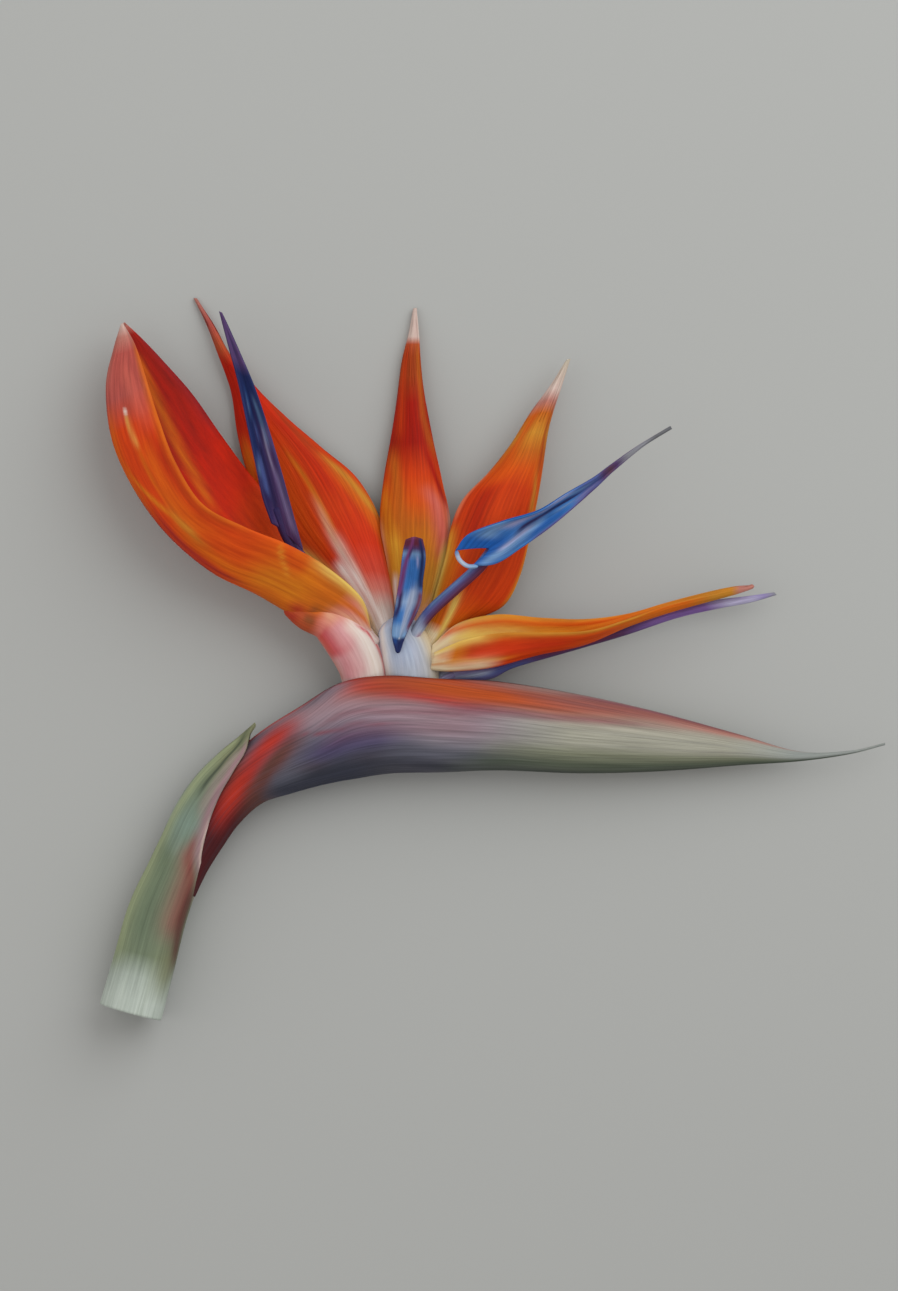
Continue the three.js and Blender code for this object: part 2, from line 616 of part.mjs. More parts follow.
const wall = spatheBody(FIT_GAP).subtract(spatheHollow(FIT_GAP));
const leftBase = fleshy(FLORET_LEFT).subtract(wall);
const rightBase = fleshy(FLORET_RIGHT).subtract(wall).subtract(fleshy(FLORET_LEFT, FIT_GAP));
place("floret_base_left", largest(leftBase), "floret");
place("floret_base_right", largest(rightBase), "floret");

const cutters = [fleshy(FLORET_LEFT, FIT_GAP), fleshy(FLORET_RIGHT, FIT_GAP), wall];
for (const made of BLADES) {
  let solid = flattened(bladeSolid(made));
  for (const cutter of cutters) solid = solid.subtract(cutter);
  cutters.push(bladeSolid(made, FIT_GAP));
  place(made.name, largest(solid), made.name.startsWith("sepal") ? "sepal" : "arrow");
}

export default group;
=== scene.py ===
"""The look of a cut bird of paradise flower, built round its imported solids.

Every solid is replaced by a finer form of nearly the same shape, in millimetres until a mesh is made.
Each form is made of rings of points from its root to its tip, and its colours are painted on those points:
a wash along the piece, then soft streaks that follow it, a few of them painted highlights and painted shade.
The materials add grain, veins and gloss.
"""

import bmesh
import bpy
import numpy as np
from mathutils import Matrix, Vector


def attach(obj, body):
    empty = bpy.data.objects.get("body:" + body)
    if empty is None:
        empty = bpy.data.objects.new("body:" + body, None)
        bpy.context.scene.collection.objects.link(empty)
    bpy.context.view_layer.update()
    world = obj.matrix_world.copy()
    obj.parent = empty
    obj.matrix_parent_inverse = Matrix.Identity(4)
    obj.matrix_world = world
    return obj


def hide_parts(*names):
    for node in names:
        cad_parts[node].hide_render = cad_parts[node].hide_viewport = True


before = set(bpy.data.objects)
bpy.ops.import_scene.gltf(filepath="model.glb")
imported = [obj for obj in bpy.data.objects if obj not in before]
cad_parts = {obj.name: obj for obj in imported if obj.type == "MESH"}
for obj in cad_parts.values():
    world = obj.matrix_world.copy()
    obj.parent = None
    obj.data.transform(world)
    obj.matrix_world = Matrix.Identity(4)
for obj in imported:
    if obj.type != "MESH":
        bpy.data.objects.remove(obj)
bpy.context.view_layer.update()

MM = 0.001
OUTER, INNER = 1, -1

# ---------- the same dimensions as the solids ----------
MARGIN_THICKNESS = 0.7
SEPAL_THICKNESS = 1.2
PETAL_THICKNESS = 1.0
TIP_HALF_WIDTH = 0.45
SPATHE_WALL = 1.5
SPATHE_HOLLOW = (5.6, 13.2)
SHEATH_WALL = 1.0
ARROW_STALK_RADIUS = 1.5
LOW_STALK_RADIUS = 1.2
RIM_RADIUS = 0.55

# ---------- finer than the solids ----------
LEAF_END_RADIUS = 0.6
EDGE_LANES = (0.96, 0.985)  # close together, for a leaf's rounded edge
FULL_RELIEF = (0.12, 0.8)  # the shares of a leaf's length between which it is fully pleated
SHEATH_END_RADIUS = 1.2
LEAST_WALL = 0.1  # of the sheath's wall, left at its tip
LEAST_SHARE = 0.05  # of a leaf's thickness, left at its ends
LEAST_SLIT = 0.1
WIDEST_WRAP = 179
CLOSED_WALL = 0.96  # the spathe's wall as a share of its half depth, where it isn't hollow
OPEN_WALL = 0.5  # the most that it is where it is hollow
SHEATH_SHARE = 0.6  # the most that the sheath's wall is of its radius
MOST_INSET = 0.49  # of the spathe's height
HOLLOW_EASE = (0.5, 0.8)  # stations outside and inside the hollow's ends where it deepens
CORE_STATIONS = 3  # how far up the stem its core goes, in stations
CORE_GAP = 0.05

# ---------- the same stations as the solids, root first ----------
# A leaf's station is margin, midrib, margin, and its tip is one point.
SEPAL_LEFT = [
    [[-31, 6.8, 11.5], [-31, 2.5, 10.5], [-28, 4, 8]],
    [[-33.5, 15, 17], [-40.75, 8.5, 12], [-36.5, 13.75, 7]],
    [[-42, 22.75, 20], [-50.5, 11.5, 13], [-44.5, 22, 6.5]],
    [[-51.5, 28.25, 22.5], [-59.5, 16.5, 14], [-51.25, 31, 6.5]],
    [[-62.25, 32.5, 24], [-70.2, 22.1, 15], [-57.5, 41, 6.5]],
    [[-72.75, 38.25, 24.5], [-80.4, 31.1, 16], [-63.25, 48.25, 6.5]],
    [[-79.5, 48.75, 23.5], [-88.7, 41.9, 16], [-69.25, 56.5, 7]],
    [[-84, 60.25, 21], [-94.7, 54.3, 15.5], [-76, 66.25, 7.5]],
    [[-87.5, 71, 17.5], [-96.6, 67.6, 14.5], [-83, 74.25, 9]],
    [[-90, 78.25, 14.5], [-94.9, 77, 13], [-88.5, 80, 10.5]],
    [[-92.9, 83.8, 12]],
]
# Its first 30 mm stand higher here than in the solid.
SEPAL_BACK = [
    [[-28, 1.5, 6.5], [-26.25, 2, 10.5], [-24.5, 1, 9.5]],
    [[-36, 11.5, 3.5], [-31, 16, 8], [-25.75, 14.5, 7]],
    [[-44.5, 19.5, 2.5], [-36.5, 26.5, 6.5], [-27.25, 25.75, 4.5]],
    [[-53, 28.25, 2], [-42, 36.25, 6], [-29.3, 35.8, 4]],
    [[-58.5, 37.5, 1.8], [-47.5, 46.25, 5.5], [-34.9, 45.4, 3.5]],
    [[-62.5, 47, 1.6], [-53, 54.5, 5], [-43.5, 52.25, 3]],
    [[-65, 56.5, 1.5], [-58.5, 62, 4.5], [-52, 59.25, 2.6]],
    [[-66.5, 67, 1.5], [-63, 69, 4], [-59.5, 66.75, 2.4]],
    [[-69.5, 76.3, 1.5], [-68, 76.6, 3], [-66.6, 75.8, 2]],
    [[-72.6, 84, 1.2], [-71.8, 84.1, 1.6], [-71, 83.8, 1.4]],
    [[-75.5, 90.5, 0.4]],
]
SEPAL_UPRIGHT = [
    [[-24.5, 4.5, 7], [-22.5, 4, 9.5], [-20.5, 4.5, 8]],
    [[-25.5, 14.5, 6.5], [-20.75, 14.5, 10.5], [-15.75, 14.5, 8]],
    [[-27.5, 24.5, 6], [-20, 24.5, 10.5], [-12.5, 25.75, 7.5]],
    [[-29, 34, 5.5], [-19.75, 34, 10], [-11.25, 34, 7]],
    [[-28, 44.5, 4.5], [-20, 44.5, 9], [-13.5, 44.5, 6]],
    [[-26.5, 54.5, 3.5], [-20.25, 54.5, 7.5], [-16, 54.5, 5]],
    [[-25, 64.5, 2.5], [-20.75, 64.5, 6], [-17.75, 64.5, 4]],
    [[-23.5, 74, 1.8], [-21, 74, 4], [-18.75, 74, 3]],
    [[-21.75, 81.5, 1.2], [-20.5, 81.5, 2.2], [-19.4, 81.5, 1.8]],
    [[-20.25, 88, 0.8]],
]
SEPAL_RIGHT = [
    [[-19, 3.25, 9], [-17, 2.5, 10], [-15, 1.5, 8]],
    [[-16.5, 11.5, 9.5], [-12.25, 9.5, 11], [-7, 9, 7.5]],
    [[-14.75, 18.25, 10], [-7.75, 17.5, 12.5], [1.75, 13.25, 8]],
    [[-12.5, 26.25, 10], [-4, 25.25, 13.5], [6, 20.5, 8]],
    [[-11, 33.25, 9.5], [-0.5, 33.25, 13], [8.25, 28.75, 8]],
    [[-8.2, 39.7, 9], [3, 41.5, 12], [9.75, 37.5, 8]],
    [[-1.9, 46.6, 8], [6.75, 48.75, 11], [11.25, 47, 7.5]],
    [[3.9, 53.9, 7], [9.75, 56.5, 9.5], [12.75, 55.5, 7]],
    [[8.8, 61.4, 6.5], [12.75, 63.25, 8], [14.5, 62.5, 6.5]],
    [[14, 68.5, 6], [15.5, 69.25, 6.8], [16.5, 68.75, 6.2]],
    [[18.25, 75, 5.6]],
]
SEPAL_LOW = [
    [[-15.5, 1.5, 14.5], [-16.5, -2.25, 12], [-16, 3.25, 12]],
    [[-8.5, 4.5, 17], [-11, -2.5, 12.5], [-9.5, 8.75, 12.5]],
    [[1, 6.25, 18], [-1, -1.5, 12.5], [0.25, 11, 12.5]],
    [[12.25, 6.5, 18], [10.25, 1.5, 12], [11, 10.25, 11.5]],
    [[23.5, 7.25, 17], [21.75, 4, 11], [22.25, 9.9, 10.5]],
    [[33.5, 9.9, 15], [33, 8.6, 10.5], [32.5, 11.1, 9.5]],
    [[43, 13, 13], [42.75, 11.9, 10], [42.25, 13.9, 8.8]],
    [[52.25, 15.6, 11.2], [52, 14.5, 9], [51.75, 16.4, 8.4]],
    [[59.75, 17.3, 9.8], [59.75, 16.6, 8.6], [59.25, 18, 8.3]],
    [[64.5, 18.2, 8.5]],
]
ARROW_RIGHT = [
    [[-10.25, 26.75, 24], [-2, 27.25, 21], [-6.25, 23, 23]],
    [[-7, 30.75, 25], [2.25, 30, 21], [-0.25, 23.5, 23]],
    [[1, 33.75, 25], [7.25, 33.75, 21], [6.25, 27.5, 23]],
    [[9.9, 36.3, 24.5], [13, 36.75, 21], [13, 32.25, 22.5]],
    [[17.3, 40.9, 23.5], [18.5, 39.8, 21], [19, 37.25, 22]],
    [[24, 44.8, 22.5], [24.5, 43.8, 20.5], [24.5, 42.25, 21.5]],
    [[28.5, 48.1, 21.5], [29, 47.5, 20], [29.25, 46.75, 20.5]],
    [[36, 53.4, 19.8], [36.25, 53, 19.5], [36.5, 52.6, 19.6]],
    [[43.5, 57.5, 18.5]],
]
ARROW_RIGHT_STALK = [
    [-21, 5.2, 11.8],
    [-16.7, 11.3, 15.6],
    [-10.7, 16.9, 18],
    [-4.5, 22.5, 19],
    [-0.5, 27.4, 19.4],
]
ARROW_RIGHT_RIM = [
    [-10, 26.8, 24],
    [-9.2, 24.6, 23.3],
    [-7.2, 23, 23],
    [-4.5, 22.9, 22.8],
]
ARROW_LEFT = [
    [[-55.75, 33.5, 15], [-53.5, 32, 13.5], [-48, 26.75, 16]],
    [[-58.25, 40.75, 15], [-55.25, 38.25, 13], [-51, 37.5, 16]],
    [[-60, 49, 14.5], [-57.5, 47.5, 12.5], [-53.75, 47.5, 15.5]],
    [[-62, 58.25, 14], [-60, 57.5, 12.3], [-57, 58.25, 15]],
    [[-64.25, 68.75, 13.5], [-62.4, 67.5, 12], [-60.25, 67.75, 14]],
    [[-66.6, 77.5, 13], [-65.4, 77, 12.3], [-63.9, 76.25, 13.3]],
    [[-68.75, 86.5, 12.5]],
]
ARROW_LEFT_STALK = [
    [-29.5, 3.25, 11],
    [-37.75, 12, 12.5],
    [-45.25, 20.75, 13.5],
    [-51.5, 29.5, 13],
    [-55, 38, 12.7],
]
ARROW_LOW = [
    [[-15, -3.75, 8.5], [-14, -4.75, 9], [-13, -5.75, 8.5]],
    [[-6.5, -1.5, 8.5], [-5, -3, 10], [-2, -5.25, 8.5]],
    [[3.5, 0.75, 8.5], [4, -0.75, 9.5], [4.5, -2.25, 8]],
    [[16, 3.75, 8], [16.25, 2.5, 9], [16.5, 1.25, 7.5]],
    [[31, 8, 7.5], [31.5, 6.5, 8], [31.7, 5.8, 7]],
    [[43.5, 12.5, 7], [44.5, 11, 7.5], [45.3, 10.3, 6.5]],
    [[53.5, 14.5, 6.5], [54.5, 13.25, 7], [55.4, 12.6, 6.2]],
    [[62.25, 15.5, 6.3], [62.75, 14.75, 6.6], [63.5, 14, 6.2]],
    [[70, 16.25, 6.2]],
]
ARROW_LOW_STALK = [
    [-17, -9, 8.6],
    [-13.5, -5.5, 8.8],
    [-10, -3.9, 9.1],
]
HOOD_PETAL = [
    [[-24.9, 1.6, 15.6], [-24.5, 1.3, 15.2], [-24.1, 1.6, 15.6]],
    [[-25.95, 6.4, 15.9], [-24.1, 6.1, 14.8], [-22.3, 6.4, 16.1]],
    [[-25, 13.75, 16], [-22.25, 13.75, 14.2], [-18.9, 13.5, 16.5]],
    [[-24, 20, 16], [-21.1, 20, 13.5], [-18.3, 19.5, 16.5]],
    [[-23.3, 25.75, 16.5], [-20.5, 25.75, 14.5], [-17.6, 25.25, 17]],
    [[-22.6, 29.6, 17], [-20.4, 30.3, 16.8], [-18.3, 29.75, 17.2]],
]
# A floret base: middle, half width, half depth.
FLORET_LEFT = [
    [[-31, -14.25, 8.5], 4.5, 4],
    [[-32.5, -8, 8.5], 5.4, 4.6],
    [[-33.5, -1.75, 9], 6, 5.2],
    [[-36.5, 4.25, 10], 6.3, 5.5],
    [[-41.5, 9.5, 11], 5.5, 5],
    [[-47.4, 11.4, 12], 4.2, 3.4],
    [[-52.6, 14, 12.6], 2.3, 1.8],
]
FLORET_RIGHT = [
    [[-20.25, -14.25, 8.5], 5.2, 4],
    [[-20.9, -8, 8.5], 6.6, 4.8],
    [[-21.3, -2.5, 9], 7, 5],
    [[-22.6, 2.5, 10], 6.6, 4.4],
    [[-24.6, 6.5, 10.8], 5.4, 3.4],
    [[-26.8, 9.75, 11.6], 3.4, 2.2],
]
# The spathe: top and bottom of its outline, height of its middle, half depth, half slit.
SPATHE = [
    [[-82, -56.6], [-75.25, -59.6], 8, 3, 0],
    [[-82, -48.1], [-72.25, -53.4], 8, 4.6, 0],
    [[-78.25, -39.9], [-68.5, -47.4], 8, 5.2, 0],
    [[-73.5, -31.9], [-64.25, -41.4], 8, 5.8, 0],
    [[-67, -25.1], [-58.5, -36.25], 8.2, 6.4, 0],
    [[-58.5, -18], [-51.25, -33.8], 8.4, 7.2, 0.2],
    [[-49, -12], [-42.75, -31.5], 8.5, 7.9, 1.2],
    [[-39, -6.1], [-35.25, -30.1], 8.5, 8.5, 4.8],
    [[-27.75, -4.25], [-26, -28.75], 8.5, 8.8, 5.6],
    [[-14, -5], [-13.5, -28.5], 8.5, 8.8, 5.2],
    [[1, -5.75], [1, -28], 8.4, 8.3, 2.6],
    [[21, -9], [21, -28.75], 8, 7.2, 1.2],
    [[41, -13.5], [41, -28.25], 7.2, 5.6, 0.8],
    [[61, -19], [61, -26.75], 6.4, 3.6, 0.6],
    [[76, -23.25], [76, -25.75], 6, 1.6, 0.3],
    [[88.5, -23.1], [88.5, -24], 5.6, 0.7, 0.1],
    [[97.5, -21.1], [97.5, -21.7], 5.2, 0.35, 0.1],
]
# The stem: middle, radius, degrees that the sheath reaches round to each side from the back.
STEM = [
    [[-91.4, -88.4, 7.85], 8, 180],
    [[-88, -75.9, 7.6], 7.75, 180],
    [[-84.75, -63.9, 7.4], 7.5, 180],
    [[-80.75, -54.1, 7.4], 6.9, 172],
    [[-77.7, -47.4, 7.6], 6.75, 133],
    [[-74.25, -39.9, 7.8], 6.75, 116],
    [[-70.1, -33.4, 8], 6.5, 103],
    [[-65.4, -28, 8.2], 6, 90],
    [[-61, -23.1, 8.3], 5, 71],
    [[-57.25, -18.5, 8.5], 4, 8],
]


# ---------- smooth lines and surfaces ----------
def rail(points, t):
    """A smooth line through points that are the same step of t apart, read at the shares t of the way."""
    points = np.asarray(points, float)
    last = len(points) - 1
    padded = np.vstack([2 * points[0] - points[1], points, 2 * points[-1] - points[-2]])
    place = np.clip(t, 0, 1) * last
    first = np.minimum(place.astype(int), last - 1)
    w = (place - first)[..., None]
    before, start, end, after = (padded[first + k] for k in range(4))
    leave, arrive = (end - before) / 2, (after - start) / 2
    bend = 3 * (end - start) - 2 * leave - arrive
    return start + w * (leave + w * (bend + w * (2 * (start - end) + leave + arrive)))


def unit(vectors):
    return vectors / np.maximum(np.linalg.norm(vectors, axis=-1, keepdims=True), 1e-9)


def travelled(line):
    """How far along a line of points each of them lies."""
    return np.concatenate([[0], np.cumsum(np.linalg.norm(np.diff(line, axis=0), axis=1))])


def step(value, low, high):
    """0 below low, 1 above high, and a smooth step between them."""
    x = np.clip((value - low) / (high - low), 0, 1)
    return x * x * (3 - 2 * x)


def rounded(distance, radius):
    """The height of a rounded edge, from 0 at the edge to 1 at its radius."""
    return np.sqrt(np.clip(1 - (1 - np.minimum(distance / radius, 1)) ** 2, 0, 1))


def normals(surface):
    return unit(np.cross(np.gradient(surface, axis=0), np.gradient(surface, axis=1)))


def both_faces(lanes):
    """The side that each point of a leaf's ring is on."""
    return np.repeat([OUTER, INNER], lanes)[None]


class Rings:
    """Rings of points round a form, from its root to its tip. along and across say where each point lies,
    and side which face it is on. flow's three parts follow the fibres, for the grain. A leaf's ring is its
    outer face from margin to margin, then as many points back along its inner face."""

    def __init__(self, points, along, across, side, flow, leaf=False):
        shape = points.shape[:2]
        self.points = points
        self.along, self.across, self.side = (np.broadcast_to(part, shape) for part in (along, across, side))
        self.flow = np.stack([np.broadcast_to(part, shape) for part in flow], axis=-1)
        self.leaf = leaf


def spread_tip(stations):
    """A last station of one point is spread along the line of the one before it."""
    if len(stations[-1]) == 3:
        return np.array(stations, float)
    before = np.array(stations[-2], float)
    across = TIP_HALF_WIDTH * unit(before[2] - before[0])
    tip = np.array(stations[-1][0], float)
    return np.array([*stations[:-1], [tip - across, tip, tip + across]], float)


def blade(stations, thickness, fold=2, steps=200, lanes=46, pleats=(0, 0), waves=(0, 0)):
    """A thin leaf through stations of margin, midrib, margin. pleats are how many fine ridges run along it
    and how high, and waves how often its margins rise and fall and how far."""
    stations = spread_tip(stations)
    t = np.linspace(0, 1, steps + 1)
    rim, edge = EDGE_LANES
    s = np.concatenate([[-1, -edge], np.linspace(-rim, rim, lanes), [edge, 1]])
    near, middle, far = (rail(stations[:, k], t)[:, None] for k in range(3))
    half = (far - near) / 2
    bend = (far + near) / 2 - middle
    surface = middle + s[None, :, None] * half + (np.abs(s) ** fold)[None, :, None] * bend
    width = np.linalg.norm(half, axis=2)
    long = travelled(middle[:, 0])[:, None]
    full_from, full_to = FULL_RELIEF
    fading = (step(t, 0, full_from) * (1 - step(t, full_to, 1)))[:, None]
    normal = normals(surface)
    ridge = pleats[1] * np.cos(np.pi * pleats[0] * s)[None]
    wave = waves[1] * np.abs(s)[None] ** 3 * np.sin(2 * np.pi * waves[0] * t[:, None] + 2 * np.sign(s)[None])
    surface = surface + normal * ((ridge + wave) * fading)[..., None]
    normal = normals(surface)
    margin = rounded((1 - np.abs(s))[None] * width, MARGIN_THICKNESS / 2)
    tip = rounded(np.minimum(long, long[-1] - long), LEAF_END_RADIUS)
    thick = thickness + (MARGIN_THICKNESS - thickness) * s**2
    high = thick[None] / 2 * np.maximum(margin * tip, LEAST_SHARE)
    # The hollow side is the one towards which the margins bend.
    cup = np.sign((normal[steps // 2, lanes // 2] * bend[steps // 2, 0]).sum()) or 1
    outer = surface - cup * normal * high[..., None]
    inner = surface + cup * normal * high[..., None]
    points = np.concatenate([outer, inner[:, ::-1]], axis=1)
    across = np.concatenate([s, s[::-1]])[None]
    side = both_faces(len(s))
    return Rings(points, t[:, None], across, side, (across * width.max(), side, long), leaf=True)


def tube(points, wide, deep=None, steps=60, around=32, round_ends=1.0):
    """A round form along a line. wide and deep are its half sizes, one number or one for each point."""
    t = np.linspace(0, 1, steps + 1)
    centre = rail(points, t)
    deep = wide if deep is None else deep
    sizes = [np.broadcast_to(np.asarray(size, float), len(points)) for size in (wide, deep)]
    wide, deep = rail(np.stack(sizes, axis=1), t).T
    direction = unit(np.gradient(centre, axis=0))
    side = unit(np.cross(direction, [0, 0, 1]))
    up = np.cross(side, direction)
    long = travelled(centre)
    ends = np.maximum(rounded(np.minimum(long, long[-1] - long), round_ends), LEAST_SHARE)
    turn = 2 * np.pi * np.arange(around) / around
    out = np.cos(turn)[None, :, None] * (wide * ends)[:, None, None] * side[:, None]
    rise = np.sin(turn)[None, :, None] * (deep * ends)[:, None, None] * up[:, None]
    flow = (wide.max() * np.cos(turn), deep.max() * np.sin(turn), long[:, None])
    return Rings(centre[:, None] + out + rise, t[:, None], turn[None] / np.pi, OUTER, flow)


def thinned(lane, by, start):
    """The share of a bract's wall at each lane, which is less by `by` at its margins."""
    return 1 - by * step(np.abs(lane), start, 1)


def spathe_stations(t):
    """The outline, half depth and half slit of the spathe's section at the shares t of the way along."""
    flat = [[*top, middle, *bottom, deep, slit] for top, bottom, middle, deep, slit in SPATHE]
    top_x, top_y, middle, bottom_x, bottom_y, deep, slit = rail(flat, t).T
    slit = np.maximum(slit, LEAST_SLIT)
    top = np.stack([top_x, top_y, middle], axis=1)
    bottom = np.stack([bottom_x, bottom_y, middle], axis=1)
    # The margins stop short of the section's crown, so the crown is set above their outline.
    share = (1 + np.sqrt(np.clip(1 - (slit / deep) ** 2, 0, 1))) / 2
    return bottom + (top - bottom) / share[:, None], bottom, deep, slit


def spathe(steps=260, lanes=72, grain_size=(12, 9)):
    """The folded bract: its outer face from one margin round the keel to the other, then its inner face
    back. grain_size is the half height and half depth that its grain is laid round."""
    t = np.linspace(0, 1, steps + 1)
    crown, bottom, deep, slit = spathe_stations(t)
    height = crown - bottom
    tall = np.linalg.norm(height, axis=1)
    station = t * (len(SPATHE) - 1)
    first, last = SPATHE_HOLLOW
    before, after = HOLLOW_EASE
    hollow = step(station, first - before, first + after) * (1 - step(station, last - after, last + before))
    closed_wall = CLOSED_WALL * deep
    wall = closed_wall + (np.minimum(SPATHE_WALL, OPEN_WALL * deep) - closed_wall) * hollow

    def face(share_of_mouth, inset):
        half_deep = deep[:, None] - inset
        mouth = np.pi - np.arcsin(np.clip(slit[:, None] / half_deep, 0, 1))
        angle = share_of_mouth[None] * mouth
        share = (1 - np.cos(angle)) / 2
        kept = 1 - 2 * np.minimum(inset / tall[:, None], MOST_INSET)
        points = bottom[:, None] + height[:, None] * (0.5 + (share - 0.5) * kept)[..., None]
        points[..., 2] += half_deep * np.sin(angle)
        return points, angle

    out = np.linspace(-1, 1, lanes)
    outer, outer_angle = face(out, np.zeros((len(t), 1)))
    thin = thinned(out[None], by=0.45 * hollow[:, None], start=0.7)
    inner, inner_angle = face(out, wall[:, None] * thin)
    points = np.concatenate([outer, inner[:, ::-1]], axis=1)
    angle = np.concatenate([outer_angle, inner_angle[:, ::-1]], axis=1)
    long = travelled((crown + bottom) / 2)[:, None]
    flow = (grain_size[0] * np.cos(angle), grain_size[1] * np.sin(angle), long)
    return Rings(points, t[:, None], angle / np.pi, both_faces(lanes), flow, leaf=True)


def stem_stations(t):
    """The middle, inward side, radius and wrap of the stem at the shares t of the way along."""
    centre = rail([at for at, _, _ in STEM], t)
    radius, wrap = rail([[radius, wrap] for _, radius, wrap in STEM], t).T
    direction = unit(np.gradient(centre, axis=0))
    side = unit(np.stack([direction[:, 1], -direction[:, 0], 0 * radius], axis=1))
    return centre, side, radius, np.radians(np.minimum(wrap, WIDEST_WRAP))


def sheath(steps=200, lanes=64, grain_size=8):
    """The leaf sheath: a closed tube that opens above its mouth into a pointed trough. grain_size is the
    radius that its grain is laid round."""
    t = np.linspace(0, 1, steps + 1)
    centre, side, radius, wrap = stem_stations(t)
    long = travelled(centre)
    ends = rounded(long[-1] - long, SHEATH_END_RADIUS)
    wall = (np.minimum(SHEATH_WALL, SHEATH_SHARE * radius) * np.maximum(ends, LEAST_WALL))[:, None]
    out = np.linspace(-1, 1, lanes)
    places = np.concatenate([out, out[::-1]])[None]
    faces = both_faces(lanes)
    angle = np.pi + places * wrap[:, None]
    thin = thinned(places, by=0.5, start=0.8)
    reach = radius[:, None] - wall * thin * (faces == INNER)
    points = centre[:, None] + (reach * np.cos(angle))[..., None] * side[:, None]
    points[..., 2] += reach * np.sin(angle)
    flow = (grain_size * np.cos(angle), grain_size * np.sin(angle), long[:, None])
    return Rings(points, t[:, None], places, faces, flow, leaf=True)


# ---------- colours ----------
def linear(code):
    """A linear colour from six hex digits."""
    parts = np.array([int(code[i : i + 2], 16) / 255 for i in (0, 2, 4)])
    return np.where(parts <= 0.04045, parts / 12.92, ((parts + 0.055) / 1.055) ** 2.4)


INKS = dict(
    # sepals
    blood="9c1606", scarlet="b61c06", fire="cf2a08", poppy="cf3412", vermilion="c83c0c", flame="d0500e",
    orange="d06610", copper="bd6118", amber="ce7a18", brass="c08028", gold="dc9c30", straw="e0bb5e",
    cream="dcc8a2", blush="dca08c", peach="d9a27e", rose="cc6454", coral="d14a36", salmon="d47a6c",
    # fold_shade is painted shade, for the shadowed fold under the left sepal's near flap.
    shell="d2bab0", chalk="e4d8ce", snow="f0e6e0", wine="8c1f26", fold_shade="8a4a26", mahogany="9c3a12",
    terracotta="b4502c", dusty="aa4e46", faded="b4766a",
    # petals
    navy="1f2a58", marine="25437c", cobalt="1c559f", azure="3a70b0", steel="6f93bb", sky="88a2c6",
    mist="a9b4ca", lilac="a8a2c0", indigo="2c2450", violet="533c68", purple="7a5a9a", lavender="8f83b0",
    maroon="64283a", magenta="75396c", plum_dark="5a3c4e", ash="87878f", graphite="696a6e",
    dusk_blue="4c5a92",
    # florets
    bone="c9b6b0", rose_pale="d08e92", rose_deep="c4565c", pearl="a8aebc", ivory="c6bca8",
    # bracts and stem
    ruby="b8321f", crimson="a62c22", brick="9c4628", rust="ae4a1c", plum="998189", mulberry="7c4450",
    rosewood="925852", iris="4e456a", pewter="86828c", slate="5b5c69", ink="32343f", night="232a52",
    dusk="4a1a1e", umber="5c3a34", sage="a09e90", moss="6c7256", bottle="43503f", pine="3d453c",
    fog="979c98", lime="a0aa84", olive="7c8062", fern="707c66", leaf="60705a", teal="788a7e", clay="844640",
    mauve="98787e", taupe="8a8078", haze="a6b0a6", pale_green="b6bfb6",
)
INKS = {name: linear(code) for name, code in INKS.items()}


def wash(along, stops):
    """Colours along a piece, from stops of (share of its length, colour). The first and the last go on to its
    ends."""
    places = [place for place, _ in stops]
    inks = np.array([INKS[name] for _, name in stops])
    return np.stack([np.interp(along, places, inks[:, k]) for k in range(3)], axis=-1)


def streak(paint, rings, ink, path, width, strength=1, where=None, fade=0.04):
    """Adds a soft band along a piece. path is (along, across) from the root on, width its half width, where
    the side that it lies on, or None for both, and fade how gently it begins and ends."""
    starts, places = np.array(path, float).T
    centre = np.interp(rings.along, starts, places)
    amount = step(rings.along, starts[0] - fade, starts[0] + fade)
    amount *= 1 - step(rings.along, starts[-1] - fade, starts[-1] + fade)
    amount = amount * strength * np.exp(-(((rings.across - centre) / width) ** 2))
    if where is not None:
        amount = amount * (rings.side == where)
    paint += (INKS[ink] - paint) * np.clip(amount, 0, 1)[..., None]


def painted(rings, outer, inner=None, streaks=()):
    """Rings with their colours: the wash of the outer and the inner face, then the streaks in order. A streak
    is a row of ink, path and half width, then strength, side and fade where they aren't the usual ones."""
    paint = wash(rings.along, outer)
    if inner:
        paint = np.where((rings.side == INNER)[..., None], wash(rings.along, inner), paint)
    for row in streaks:
        streak(paint, rings, *row)
    return rings, paint


def on_face(face, rows):
    """Streaks that all lie on one face, from rows of ink, path, half width and strength."""
    return [(*row, face) for row in rows]


# ---------- materials ----------
CELL_RELIEF = 0.35  # how high the cells stand as a share of the fibres
TISSUE_SPECULAR = 0.12


def node(tree, kind, inputs, **settings):
    """A new shader node. Each of its inputs is set to a value or linked to an output."""
    made = tree.nodes.new(kind)
    for name, value in settings.items():
        setattr(made, name, value)
    for name, value in inputs.items():
        if isinstance(value, bpy.types.NodeSocket):
            tree.links.new(value, made.inputs[name])
        else:
            made.inputs[name].default_value = value
    return made


